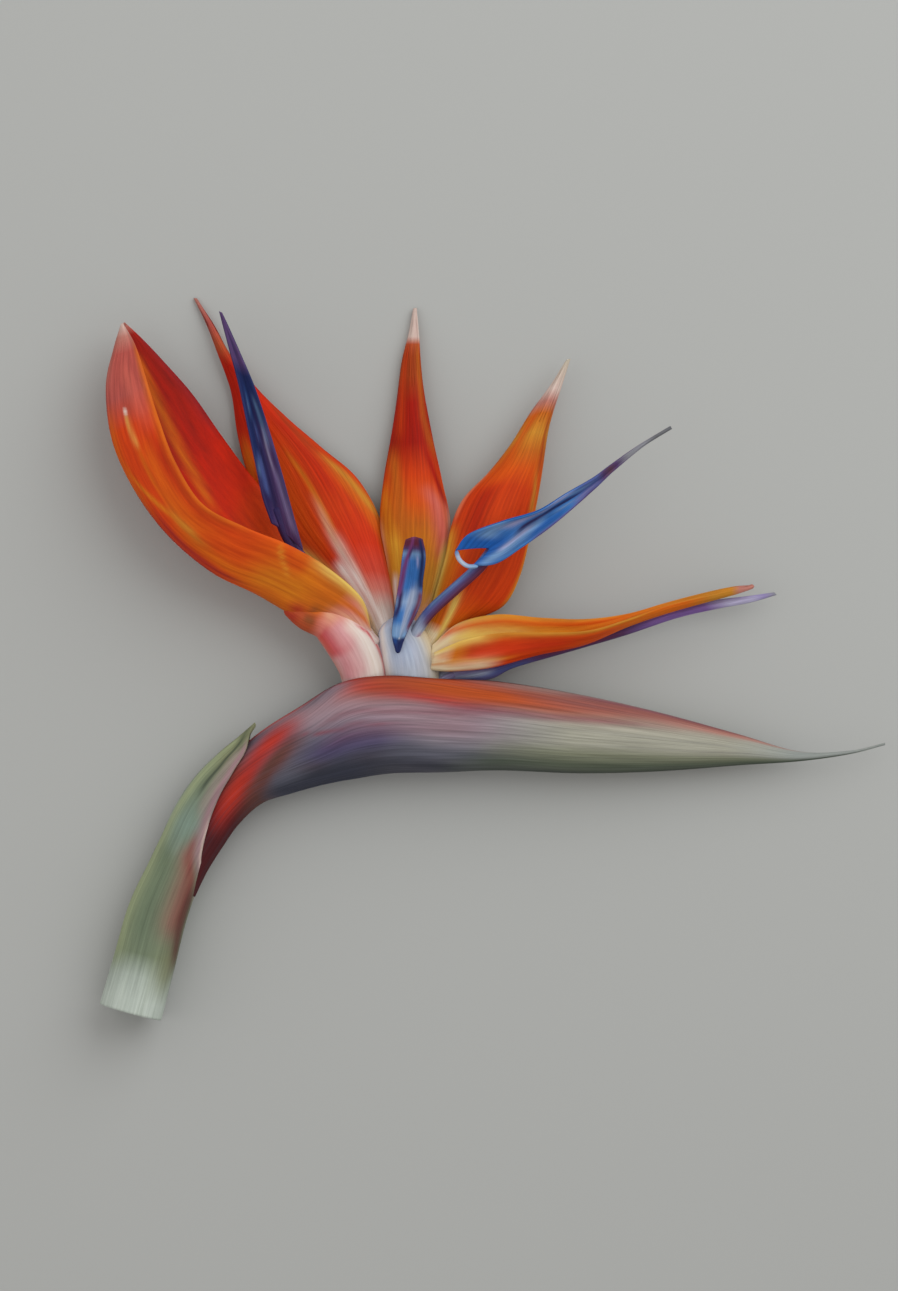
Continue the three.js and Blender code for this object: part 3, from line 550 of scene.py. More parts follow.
def tissue(name, grain, lengthways, vein, gloss, contrast=0.13, bump=0.14):
    """Living tissue whose colour is painted on the points. grain is how many fibres there are to a
    millimetre, lengthways how much longer than wide their marks are, vein the ink that tints them, gloss the
    lowest and highest roughness, contrast how much the fibres show, and bump how deep they are."""
    made = bpy.data.materials.new(name)
    made.use_nodes = True
    tree = made.node_tree
    tree.nodes.clear()

    def noise(vector, scale, detail, roughness):
        inputs = {"Vector": vector, "Scale": scale, "Detail": detail, "Roughness": roughness}
        return node(tree, "ShaderNodeTexNoise", inputs).outputs["Fac"]

    def spread(value, source, target):
        ends = {"From Min": source[0], "From Max": source[1], "To Min": target[0], "To Max": target[1]}
        return node(tree, "ShaderNodeMapRange", {"Value": value, **ends}).outputs["Result"]

    def mix(factor, first, second, blend):
        inputs = {"Factor": factor, "A": first, "B": second}
        return node(tree, "ShaderNodeMix", inputs, data_type="RGBA", blend_type=blend).outputs["Result"]

    paint = node(tree, "ShaderNodeAttribute", {}, attribute_name="paint").outputs["Color"]
    flow = node(tree, "ShaderNodeAttribute", {}, attribute_name="flow").outputs["Vector"]
    stretch = {"Vector": flow, "Scale": (grain, grain, grain / lengthways)}
    fibres = node(tree, "ShaderNodeMapping", stretch).outputs["Vector"]
    streaks = noise(fibres, scale=1.0, detail=4.0, roughness=0.6)
    broad = noise(fibres, scale=0.3, detail=2.0, roughness=0.5)
    cells = noise(flow, scale=3.2, detail=2.0, roughness=0.55)
    shade = spread(streaks, (0.3, 0.7), (0.5 - contrast, 0.5 + contrast))
    grained = mix(1.0, paint, shade, "OVERLAY")
    veined = mix(spread(broad, (0.5, 0.72), (0, contrast)), grained, (*INKS[vein], 1), "MIX")
    heights = {0: cells, 1: CELL_RELIEF, 2: streaks}
    relief = node(tree, "ShaderNodeMath", heights, operation="MULTIPLY_ADD").outputs["Value"]
    bumped = node(tree, "ShaderNodeBump", {"Height": relief, "Strength": 1.0, "Distance": bump * MM})
    surface = {
        "Base Color": veined,
        "Roughness": spread(streaks, (0, 1), gloss),
        "Normal": bumped.outputs["Normal"],
        "Specular IOR Level": TISSUE_SPECULAR,
    }
    shader = node(tree, "ShaderNodeBsdfPrincipled", surface)
    node(tree, "ShaderNodeOutputMaterial", {"Surface": shader.outputs["BSDF"]})
    return made


# ---------- meshes ----------
def closed(rings, first):
    """The faces of closed rings whose points are counted from first, with a cap on each end: a strip across
    a leaf, or a fan round a middle point, which comes after the rings' own."""
    count, around = rings.points.shape[:2]
    at = first + np.arange(count * around).reshape(count, around)
    turned = np.roll(at, -1, axis=1)
    sides = np.stack([at[:-1], turned[:-1], turned[1:], at[1:]], axis=-1).reshape(-1, 4).tolist()
    caps, middles = [], []
    for end in (0, -1):
        ring = at[end].tolist()
        if rings.leaf:
            caps += [[ring[j], ring[j + 1], ring[-j - 2], ring[-j - 1]] for j in range(around // 2 - 1)]
        else:
            middle = first + count * around + len(middles)
            middles.append(rings.points[end].mean(axis=0))
            caps += [[middle, ring[j], ring[(j + 1) % around]] for j in range(around)]
    return sides + caps, middles


def piece(name, parts, look, stands_for):
    """One mesh from parts of rings with their colours, in place of a node of the solids."""
    points, paint, flow, faces = [], [], [], []
    for rings, colours in parts:
        sides, middles = closed(rings, len(points))
        faces += sides
        points += [*rings.points.reshape(-1, 3), *middles]
        ends = (0, -1)[: len(middles)]
        paint += [*colours.reshape(-1, 3), *(colours[end].mean(axis=0) for end in ends)]
        flow += [*rings.flow.reshape(-1, 3), *(rings.flow[end].mean(axis=0) for end in ends)]
    placed = np.array(points) * MM
    placed[:, 2] = placed[:, 2].clip(min=0)  # flat where it rests
    mesh = bpy.data.meshes.new(name)
    mesh.from_pydata(placed.tolist(), [], faces)
    colours = mesh.color_attributes.new("paint", "FLOAT_COLOR", "POINT")
    opaque = np.column_stack([paint, np.ones(len(paint))])
    colours.data.foreach_set("color", opaque.astype(np.float32).ravel())
    fibres = mesh.attributes.new("flow", "FLOAT_VECTOR", "POINT")
    fibres.data.foreach_set("vector", np.array(flow, np.float32).ravel())
    mesh.materials.append(look)
    mesh.validate()
    shells = bmesh.new()
    shells.from_mesh(mesh)
    bmesh.ops.recalc_face_normals(shells, faces=shells.faces)
    shells.to_mesh(mesh)
    shells.free()
    mesh.shade_smooth()
    body = bpy.data.objects.new(name, mesh)
    bpy.context.scene.collection.objects.link(body)
    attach(body, "root")
    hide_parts(stands_for)


# ---------- the pieces ----------
SEPAL = tissue("sepal tissue", grain=1.8, lengthways=26, vein="scarlet", gloss=(0.5, 0.7))
PETAL = tissue("blue petal tissue", grain=2.4, lengthways=20, vein="indigo", gloss=(0.42, 0.6), bump=0.1)
FLORET = tissue(
    "floret tissue", grain=1.4, lengthways=12, vein="blush", gloss=(0.45, 0.62), contrast=0.07, bump=0.1
)
SPATHE_SKIN = tissue("spathe skin", grain=2.0, lengthways=40, vein="slate", gloss=(0.5, 0.68))
STEM_SKIN = tissue("stem skin", grain=1.8, lengthways=30, vein="lime", gloss=(0.5, 0.68), contrast=0.09)

sepal_inside = [(0, "cream"), (0.2, "amber"), (0.5, "flame"), (0.85, "orange"), (1, "shell")]
sepal_shape = {"thickness": SEPAL_THICKNESS, "pleats": (11, 0.03), "waves": (2.5, 0.25)}
petal_shape = {"thickness": PETAL_THICKNESS, "fold": 1.5, "lanes": 30}


def sepal(name, stations, outer, inner, streaks):
    """An orange sepal, finely pleated, with rippled margins."""
    rings = blade(stations, **sepal_shape)
    piece(name + "_blade", [painted(rings, outer, inner, streaks)], SEPAL, name)


sepal(
    "sepal_left",
    SEPAL_LEFT,
    outer=[
        (0, "bone"), (0.05, "blush"), (0.1, "salmon"), (0.14, "copper"), (0.22, "orange"), (0.32, "flame"),
        (0.42, "vermilion"), (0.71, "vermilion"), (0.77, "dusty"), (0.88, "dusty"), (0.94, "faded"),
        (1, "shell"),
    ],
    inner=[
        (0, "cream"), (0.15, "orange"), (0.3, "flame"), (0.38, "vermilion"), (0.45, "fire"),
        (0.6, "scarlet"), (0.72, "blood"), (0.93, "blood"), (1, "faded"),
    ],
    streaks=[
        ("wine", [(0.4, -0.12), (0.46, -0.15), (0.6, -0.12)], 0.16, 0.8),
        ("wine", [(0.34, -0.32), (0.44, -0.4), (0.54, -0.46)], 0.05, 0.75, OUTER),
        ("faded", [(0.8, -0.2), (0.9, -0.1)], 0.18, 0.5),
        ("orange", [(0.56, -0.3), (0.66, -0.25), (0.74, -0.3)], 0.14, 0.6, OUTER),
        # A painted highlight: the broad amber band on the near flap.
        ("amber", [(0.2, -0.6), (0.28, -0.6), (0.34, -0.52)], 0.24, 0.8, OUTER),
        ("orange", [(0.34, -0.5), (0.44, -0.58), (0.5, -0.62)], 0.1, 0.75, OUTER),
        ("flame", [(0.38, -0.72), (0.45, -0.84), (0.56, -0.88)], 0.1, 0.6, OUTER),
        ("orange", [(0.46, -0.78), (0.56, -0.8), (0.66, -0.8)], 0.07, 0.5, OUTER),
        ("blood", [(0.45, -0.97), (0.56, -0.96), (0.66, -0.94)], 0.05, 0.7, OUTER),
        # A painted highlight along the near flap's keel: the brass, orange and straw lines near -0.7 across,
        # ending in a painted chalk glint.
        ("brass", [(0.455, -0.65), (0.48, -0.69), (0.53, -0.69)], 0.045, 0.9, OUTER),
        ("amber", [(0.52, -0.67), (0.57, -0.56), (0.63, -0.4)], 0.035, 0.75, OUTER),
        ("orange", [(0.53, -0.74), (0.6, -0.71), (0.67, -0.69)], 0.025, 0.75, OUTER),
        ("straw", [(0.67, -0.69), (0.7, -0.68), (0.735, -0.67)], 0.02, 0.85, OUTER, 0.015),
        ("chalk", [(0.734, -0.665), (0.745, -0.66)], 0.022, 0.95, OUTER, 0.006),
        ("rose", [(0.7, -0.9), (0.76, -0.85), (0.84, -0.7)], 0.1, 0.5, OUTER),
        # A painted highlight along the near flap's rim.
        ("orange", [(0.4, -1), (0.6, -1), (0.9, -0.98)], 0.035, 0.85, OUTER),
        ("gold", [(0.265, -0.74), (0.29, -0.84), (0.315, -0.95)], 0.03, 0.6, OUTER, 0.01),
        ("vermilion", [(0.24, -0.9), (0.27, -0.88), (0.3, -0.97)], 0.1, 0.6, OUTER, 0.015),
        ("straw", [(0, -1), (0.1, -0.99), (0.22, -0.99)], 0.06, 0.95),
        ("orange", [(0.02, -0.93), (0.08, -0.82), (0.16, -0.74)], 0.06, 0.9, OUTER),
        ("peach", [(0, -0.6), (0.08, -0.6), (0.12, -0.56)], 0.1, 0.8, OUTER),
        ("rose_pale", [(0, -0.3), (0.06, -0.3)], 0.3, 0.8, OUTER),
        ("rose_deep", [(0.06, -0.2), (0.14, -0.2)], 0.3, 0.8, OUTER, 0.02),
        # Painted shade: a dark spot where the fold below the near flap lies in shadow.
        ("fold_shade", [(0.155, -0.4), (0.175, -0.42)], 0.12, 0.8, OUTER, 0.012),
        ("crimson", [(0.18, -0.3), (0.22, -0.3)], 0.16, 0.8, OUTER, 0.02),
        ("copper", [(0.24, -0.15), (0.3, -0.1)], 0.3, 0.7, OUTER),
        ("orange", [(0.48, 0.64), (0.56, 0.69), (0.66, 0.73), (0.84, 0.79)], 0.035, 0.85, INNER),
        ("vermilion", [(0.28, 0.95), (0.45, 0.95)], 0.2, 0.6, INNER),
        ("wine", [(0.62, 1), (0.92, 1)], 0.04, 0.7),
    ],
)
sepal(
    "sepal_back_left",
    SEPAL_BACK,
    outer=[
        (0, "pearl"), (0.04, "chalk"), (0.075, "shell"), (0.11, "salmon"), (0.15, "coral"), (0.22, "poppy"),
        (0.34, "vermilion"), (0.5, "vermilion"), (0.62, "fire"), (0.76, "scarlet"), (0.82, "terracotta"),
        (0.9, "dusty"), (1, "faded"),
    ],
    inner=[(0, "cream"), (0.2, "flame"), (0.5, "vermilion"), (0.85, "scarlet"), (1, "faded")],
    streaks=[
        ("flame", [(0.22, -0.5), (0.5, -0.45)], 0.22, 0.7),
        ("scarlet", [(0.56, -0.75), (0.8, -0.8)], 0.35, 0.8),
        ("orange", [(0.47, -0.88), (0.56, -0.85)], 0.1, 0.85),
        ("orange", [(0.08, 0.95), (0.28, 0.95)], 0.08, 0.6),
        ("scarlet", [(0.34, 0.25), (0.5, 0.25), (0.58, 0.3)], 0.2, 0.6),
        ("mahogany", [(0.46, 0.5), (0.56, 0.52), (0.64, 0.6)], 0.12, 0.7),
        ("amber", [(0.26, -0.05), (0.33, -0.04), (0.4, -0.06), (0.46, -0.1)], 0.045, 0.7),
        ("blush", [(0.1, -0.05), (0.2, -0.08), (0.24, -0.06)], 0.12, 0.6, None, 0.03),
        ("snow", [(0, 0.3), (0.04, 0.15), (0.08, -0.08), (0.12, -0.2), (0.18, -0.2)], 0.14),
        ("shell", [(0.17, -0.2), (0.25, -0.16)], 0.1, 0.9),
        ("peach", [(0.22, -0.17), (0.32, -0.1)], 0.07, 0.8, None, 0.05),
        ("snow", [(0, -0.5), (0.05, -0.4), (0.12, -0.4), (0.19, -0.42)], 0.14, 1, None, 0.02),
        ("straw", [(0.05, -0.5), (0.11, -0.6), (0.2, -0.75), (0.27, -0.86)], 0.12, 0.95),
        ("brass", [(0.29, 0.98), (0.33, 0.86), (0.38, 0.74), (0.44, 0.6)], 0.13),
        ("orange", [(0.24, 0.9), (0.32, 0.7), (0.4, 0.5)], 0.1, 0.6),
        ("wine", [(0.55, 1), (0.72, 1)], 0.05, 0.6),
    ],
)
sepal(
    "sepal_upright",
    SEPAL_UPRIGHT,
    outer=[
        (0, "cream"), (0.08, "blush"), (0.14, "brass"), (0.26, "amber"), (0.33, "copper"), (0.39, "flame"),
        (0.46, "vermilion"), (0.55, "blood"), (0.66, "blood"), (0.74, "mahogany"), (0.8, "mahogany"),
        (0.845, "terracotta"), (0.875, "shell"),
    ],
    inner=sepal_inside,
    streaks=[
        ("copper", [(0.28, -0.35), (0.42, -0.55), (0.52, -0.8)], 0.2, 0.85),
        ("vermilion", [(0.56, -0.65), (0.7, -0.6), (0.84, -0.5)], 0.22, 0.7),
        ("copper", [(0.52, 0.85), (0.62, 0.55), (0.72, 0.6), (0.84, 0.5)], 0.2, 0.65),
        ("blood", [(0.36, 0.95), (0.42, 0.8), (0.48, 0.62), (0.53, 0.45)], 0.11),
        ("rose", [(0.22, 0.86), (0.3, 0.74), (0.38, 0.6), (0.42, 0.4)], 0.25, 1, None, 0.03),
        ("salmon", [(0.2, 0.97), (0.3, 0.96)], 0.12, 0.7),
        ("mahogany", [(0.56, 0.6), (0.68, 0.6)], 0.16, 0.6),
        ("shell", [(0.3, 0.97), (0.36, 0.97)], 0.08, 0.6),
        # Painted light: the gold and amber on the left flank make it the lit side.
        ("gold", [(0.16, -0.6), (0.24, -0.6), (0.31, -0.72)], 0.22),
        ("amber", [(0.3, -0.7), (0.42, -0.88)], 0.14, 0.8),
        ("chalk", [(0.06, -0.95), (0.13, -0.82), (0.18, -0.7)], 0.12, 0.9, None, 0.02),
        ("blush", [(0.2, -1), (0.32, -1)], 0.1, 0.6),
        ("brass", [(0.08, 0.5), (0.16, 0.6), (0.2, 0.6)], 0.16, 0.8),
        ("straw", [(0.06, 1), (0.15, 0.92), (0.26, 0.92)], 0.16),
    ],
)
sepal(
    "sepal_right",
    SEPAL_RIGHT,
    outer=[
        (0.05, "cream"), (0.085, "orange"), (0.14, "flame"), (0.2, "vermilion"), (0.52, "vermilion"),
        (0.58, "flame"), (0.64, "copper"), (0.7, "brass"), (0.77, "copper"), (0.82, "faded"),
        (0.87, "shell"), (1, "ivory"),
    ],
    inner=sepal_inside,
    streaks=[
        ("orange", [(0.12, -0.5), (0.22, -0.6), (0.32, -0.75)], 0.25, 0.85),
        ("gold", [(0.1, -0.8), (0.17, -0.88), (0.26, -0.94), (0.38, -1)], 0.18),
        ("straw", [(0.1, -0.95), (0.2, -0.97), (0.3, -1)], 0.12),
        ("straw", [(0.03, 0.15), (0.08, 0), (0.14, -0.08), (0.18, -0.12)], 0.14),
        ("blood", [(0.34, -0.4), (0.44, -0.5), (0.52, -0.5)], 0.25, 0.7),
        ("flame", [(0.54, -0.5), (0.66, -0.6), (0.78, -0.5)], 0.22, 0.7),
        ("mahogany", [(0.58, 0.78), (0.68, 0.62), (0.77, 0.5)], 0.12, 0.7),
        ("brass", [(0.46, 0.84), (0.53, 0.78), (0.58, 0.64)], 0.09, 0.8),
        ("peach", [(0.42, -1), (0.6, -1)], 0.08, 0.5),
        ("gold", [(0.2, 1), (0.62, 1)], 0.05, 0.8),
    ],
)
sepal(
    "sepal_low_right",
    SEPAL_LOW,
    outer=[
        (0.06, "cream"), (0.1, "amber"), (0.15, "vermilion"), (0.38, "vermilion"), (0.5, "flame"),
        (0.56, "orange"), (0.72, "orange"), (0.8, "brass"), (0.87, "brass"), (0.91, "faded"),
    ],
    inner=[
        (0.08, "cream"), (0.16, "straw"), (0.26, "gold"), (0.4, "amber"), (0.55, "orange"), (0.8, "brass"),
        (0.88, "brass"), (0.92, "faded"),
    ],
    streaks=[
        ("poppy", [(0.15, -0.75), (0.3, -0.72), (0.4, -0.7)], 0.12, 0.7, OUTER),
        ("orange", [(0.02, -0.8), (0.1, -0.78), (0.14, -0.76)], 0.12, 0.6, OUTER),
        ("amber", [(0, -0.55), (0.12, -0.6), (0.26, -0.5)], 0.06, 0.85, OUTER),
        ("cream", [(0, -0.35), (0.1, -0.35), (0.22, -0.36)], 0.2, 0.95, OUTER),
        ("straw", [(0, -1), (0.2, -1)], 0.1, 0.95),
        ("brass", [(0.18, -1), (0.6, -1)], 0.07, 0.95),
        ("flame", [(0.04, 0.98), (0.12, 0.93), (0.3, 0.9), (0.52, 0.88)], 0.055, 0.9, INNER),
        ("straw", [(0.1, 0.8), (0.2, 0.78), (0.3, 0.76)], 0.07, 0.7, INNER),
        ("orange", [(0.2, 1), (0.4, 1)], 0.05, 0.7, INNER),
        ("brass", [(0.1, 1), (0.9, 1)], 0.035, 0.7),
    ],
)


def petal(name, stations, outer, inner, streaks, stalks=()):
    """A blue petal, whose stalks and rolled rim are part of its mesh."""
    rings = blade(stations, **petal_shape)
    piece(name + "_blade", [painted(rings, outer, inner, streaks), *stalks], PETAL, name)


def stalk(points, radius, outer, streaks=()):
    return painted(tube(points, radius), outer, None, streaks)


petal(
    "arrow_petal_left",
    ARROW_LEFT,
    outer=[(0.4, "violet"), (0.8, "navy"), (1, "indigo")],
    inner=[(0, "violet"), (0.2, "indigo"), (0.4, "navy"), (0.72, "navy"), (0.79, "violet")],
    streaks=[
        ("dusk_blue", [(0.2, -0.55), (0.3, -0.5), (0.38, -0.5)], 0.26, 0.9),
        ("indigo", [(0.4, -0.3), (0.5, -0.2)], 0.2, 0.7),
        ("steel", [(0.28, -0.85), (0.34, -0.8)], 0.12, 0.4),
        ("marine", [(0.55, -0.2), (0.66, -0.3)], 0.24, 0.8),
        ("steel", [(0.55, -0.5), (0.62, -0.46)], 0.12, 0.4),
        ("violet", [(0, 0.6), (0.3, 0.6), (0.5, 0.7)], 0.38),
        ("lavender", [(0.06, 0.8), (0.2, 0.76), (0.32, 0.7)], 0.14, 0.7),
        ("lilac", [(0.33, 0.6), (0.42, 0.56), (0.48, 0.62)], 0.08, 0.6),
        ("steel", [(0.42, 0.72), (0.54, 0.7), (0.62, 0.62)], 0.14, 0.45),
        ("indigo", [(0.06, 0), (0.3, 0.05), (0.45, 0)], 0.18, 0.9),
        ("dusk_blue", [(0.45, 0.05), (0.53, 0)], 0.18, 0.9),
        ("indigo", [(0.45, 0.42), (0.55, 0.36), (0.6, 0.3)], 0.12, 0.9),
        ("indigo", [(0, -0.95), (0.18, -0.8)], 0.3, 0.9),
        ("navy", [(0.8, 0.2), (0.9, 0.2)], 0.4, 0.5),
    ],
    stalks=[stalk(ARROW_LEFT_STALK, ARROW_STALK_RADIUS, [
        (0, "bone"), (0.35, "blush"), (0.55, "violet"), (1, "indigo"),
    ])],
)
# Marks on the inner face of the right arrow petal; the steel and lilac bands among them are painted
# highlights.
arrow_streaks = [
    ("steel", [(0.1, -0.5), (0.18, -0.7), (0.26, -0.9)], 0.26, 0.9),
    ("lilac", [(0.2, -0.45), (0.3, -0.5), (0.4, -0.65)], 0.24, 0.8),
    ("lilac", [(0.42, -0.85), (0.52, -0.85)], 0.16, 0.6),
    ("steel", [(0.5, -0.6), (0.6, -0.6)], 0.16, 0.6),
    ("steel", [(0.04, 0.85), (0.12, 0.62), (0.24, 0.5), (0.34, 0.45)], 0.28, 0.95),
    ("lilac", [(0.1, 0.45), (0.2, 0.42), (0.28, 0.4)], 0.12, 0.7),
    ("cobalt", [(0.28, 0.8), (0.36, 0.72), (0.46, 0.7)], 0.18, 0.85),
    ("lavender", [(0.52, 0.7), (0.58, 0.6), (0.65, 0.6)], 0.24, 0.5),
    ("sky", [(0.42, 0.4), (0.52, 0.45)], 0.1, 0.5),
    ("indigo", [(0.2, 0.15), (0.3, 0.12), (0.38, 0.02), (0.46, -0.12), (0.55, -0.15)], 0.18, 1),
    ("indigo", [(0.36, -0.2), (0.42, -0.35), (0.52, -0.38)], 0.15, 0.9),
]
petal(
    "arrow_petal_right",
    ARROW_RIGHT,
    outer=[(0.5, "cobalt"), (0.8, "violet"), (1, "ash")],
    inner=[
        (0.1, "cobalt"), (0.2, "azure"), (0.5, "azure"), (0.58, "dusk_blue"), (0.64, "dusk_blue"),
        (0.69, "violet"), (0.735, "plum_dark"), (0.77, "violet"), (0.82, "ash"), (0.88, "ash"),
        (0.93, "graphite"),
    ],
    streaks=[*on_face(INNER, arrow_streaks), ("violet", [(0.3, 1), (0.64, 0.98)], 0.08, 0.8)],
    stalks=[
        stalk(
            ARROW_RIGHT_STALK,
            ARROW_STALK_RADIUS,
            [(0.1, "mist"), (0.24, "dusk_blue"), (0.7, "dusk_blue"), (1, "violet")],
            [
                ("violet", [(0.2, 0.4), (1, 0.45)], 0.14, 0.6),
                ("maroon", [(0.16, 0.1), (0.4, 0.14), (1, 0.2)], 0.3),
                ("steel", [(0.3, 0.75), (0.9, 0.78)], 0.12, 0.5),
                ("rose_pale", [(0, 0.1), (0.08, 0.15)], 0.2, 0.7),
            ],
        ),
        stalk(ARROW_RIGHT_RIM, RIM_RADIUS, [
            (0, "azure"), (0.2, "mist"), (0.5, "mist"), (0.75, "sky"), (1, "steel"),
        ]),
    ],
)
petal(
    "arrow_petal_low",
    ARROW_LOW,
    outer=[
        (0, "mist"), (0.08, "lavender"), (0.2, "violet"), (0.5, "violet"), (0.58, "purple"),
        (0.72, "purple"), (0.8, "lilac"), (0.9, "lilac"), (0.95, "lavender"), (1, "ash"),
    ],
    inner=[(0, "lavender"), (0.3, "violet"), (0.8, "lavender"), (1, "ash")],
    streaks=[
        ("dusk_blue", [(0.04, 0.5), (0.3, 0.6)], 0.4, 0.8),
        ("maroon", [(0.32, 0.2), (0.5, 0.1)], 0.35, 0.7),
        ("mist", [(0.05, 0.3), (0.16, 0.35)], 0.2, 0.8),
        ("lavender", [(0.74, -0.6), (0.95, -0.6)], 0.3, 0.7),
    ],
    stalks=[stalk(ARROW_LOW_STALK, LOW_STALK_RADIUS, [(0, "mist"), (1, "lavender")])],
)
petal(
    "hood_petal",
    HOOD_PETAL,
    outer=[(0, "navy"), (0.4, "violet")],
    inner=[
        (0.14, "navy"), (0.175, "steel"), (0.24, "steel"), (0.29, "azure"), (0.34, "azure"), (0.41, "sky"),
        (0.52, "azure"), (0.75, "azure"), (0.82, "steel"), (0.88, "violet"), (0.93, "maroon"),
    ],
    streaks=[
        ("cobalt", [(0.1, -0.8), (0.16, -0.7)], 0.3, 0.5),
        # The mist band here and the chalk dot at the end of the list are painted highlights on the inner
        # face.
        ("mist", [(0.18, 0.35), (0.24, 0.4), (0.34, 0.3), (0.44, 0.35), (0.54, 0.5)], 0.34, 0.9, INNER, 0.07),
        ("sky", [(0.19, -0.5), (0.25, -0.45)], 0.25, 0.7, INNER),
        ("azure", [(0.52, 0.35), (0.6, 0.3)], 0.3, 0.6, INNER),
        ("lilac", [(0.7, 0.55), (0.8, 0.4)], 0.12, 0.6, INNER),
        ("indigo", [(0.3, -0.95), (0.38, -0.75), (0.5, -0.8)], 0.24),
        ("magenta", [(0.46, -0.95), (0.66, -0.85), (0.76, -0.7), (0.88, -0.4), (1, -0.1)], 0.22),
        ("indigo", [(0.78, -0.5), (0.9, -0.2)], 0.1, 0.8),
        ("maroon", [(0.22, 0.97), (0.35, 0.88), (0.5, 0.95)], 0.18, 0.95),
        ("navy", [(0.52, 0.95), (0.8, 0.85), (1, 0.75)], 0.2),
        ("chalk", [(0.155, 0.15), (0.166, 0.15)], 0.16, 0.95, INNER, 0.008),
    ],
)


def fleshy(name, stations, outer, streaks):
    """The thick base of a floret, which stands in the spathe."""
    points, wide, deep = zip(*stations)
    rings = tube(points, wide, deep, steps=80, around=56, round_ends=1.5)
    piece(name + "_flesh", [painted(rings, outer, None, streaks)], FLORET, name)


fleshy(
    "floret_base_left",
    FLORET_LEFT,
    [(0.5, "bone"), (0.62, "blush"), (0.72, "salmon"), (0.8, "terracotta"), (1, "vermilion")],
    [
        ("rose_pale", [(0.25, 0.72), (0.42, 0.7), (0.52, 0.68)], 0.2),
        ("rose_pale", [(0.3, 0.5), (0.5, 0.5)], 0.1, 0.4),
        ("salmon", [(0.25, 0.95), (0.5, 0.95)], 0.12, 0.6),
        ("rose_deep", [(0.48, 0.74), (0.6, 0.72), (0.7, 0.74)], 0.22),
        ("coral", [(0.5, 0.86), (0.62, 0.84), (0.72, 0.84)], 0.1, 0.6),
        ("rose_pale", [(0.5, 0.52), (0.65, 0.5)], 0.14, 0.9),
        ("chalk", [(0.25, 0.3), (0.5, 0.3), (0.6, 0.34)], 0.12, 0.8),
        ("rose_deep", [(0.25, 0.14), (0.35, 0.15), (0.42, 0.17), (0.5, 0.22), (0.56, 0.28)], 0.028),
        # Painted shade: plum along the edge beside floret_base_right, under the red line.
        ("plum", [(0.25, 0.03), (0.4, 0.03)], 0.08, 0.7),
        ("peach", [(0.66, 0.42), (0.74, 0.4)], 0.14, 0.7),
        ("terracotta", [(0.78, 0.6), (1, 0.6)], 0.3, 0.9),
        ("orange", [(0.74, 0.42), (0.82, 0.4), (0.9, 0.3)], 0.1, 0.9),
        ("crimson", [(0.88, 0.75), (1, 0.72)], 0.16, 0.8),
        # Painted shade: the dark spot where the left sepal's fold lies in shadow.
        ("fold_shade", [(0.78, 0.62), (0.84, 0.6)], 0.09, 0.95, None, 0.02),
        ("orange", [(0.93, 0.5), (1, 0.5)], 0.16, 0.8),
    ],
)
fleshy(
    "floret_base_right",
    FLORET_RIGHT,
    [(0.4, "pearl"), (0.6, "mist")],
    [
        ("ivory", [(0.2, 0.12), (0.5, 0.14), (0.75, 0.14)], 0.17),
        ("cream", [(0.45, 0.06), (0.7, 0.08)], 0.14, 0.8),
        # A painted highlight along the side next to floret_base_left.
        ("chalk", [(0.3, 0.84), (0.6, 0.84), (1, 0.8)], 0.1, 0.8),
        ("bone", [(0.3, 0.97), (0.6, 0.95)], 0.08, 0.8),
    ],
)

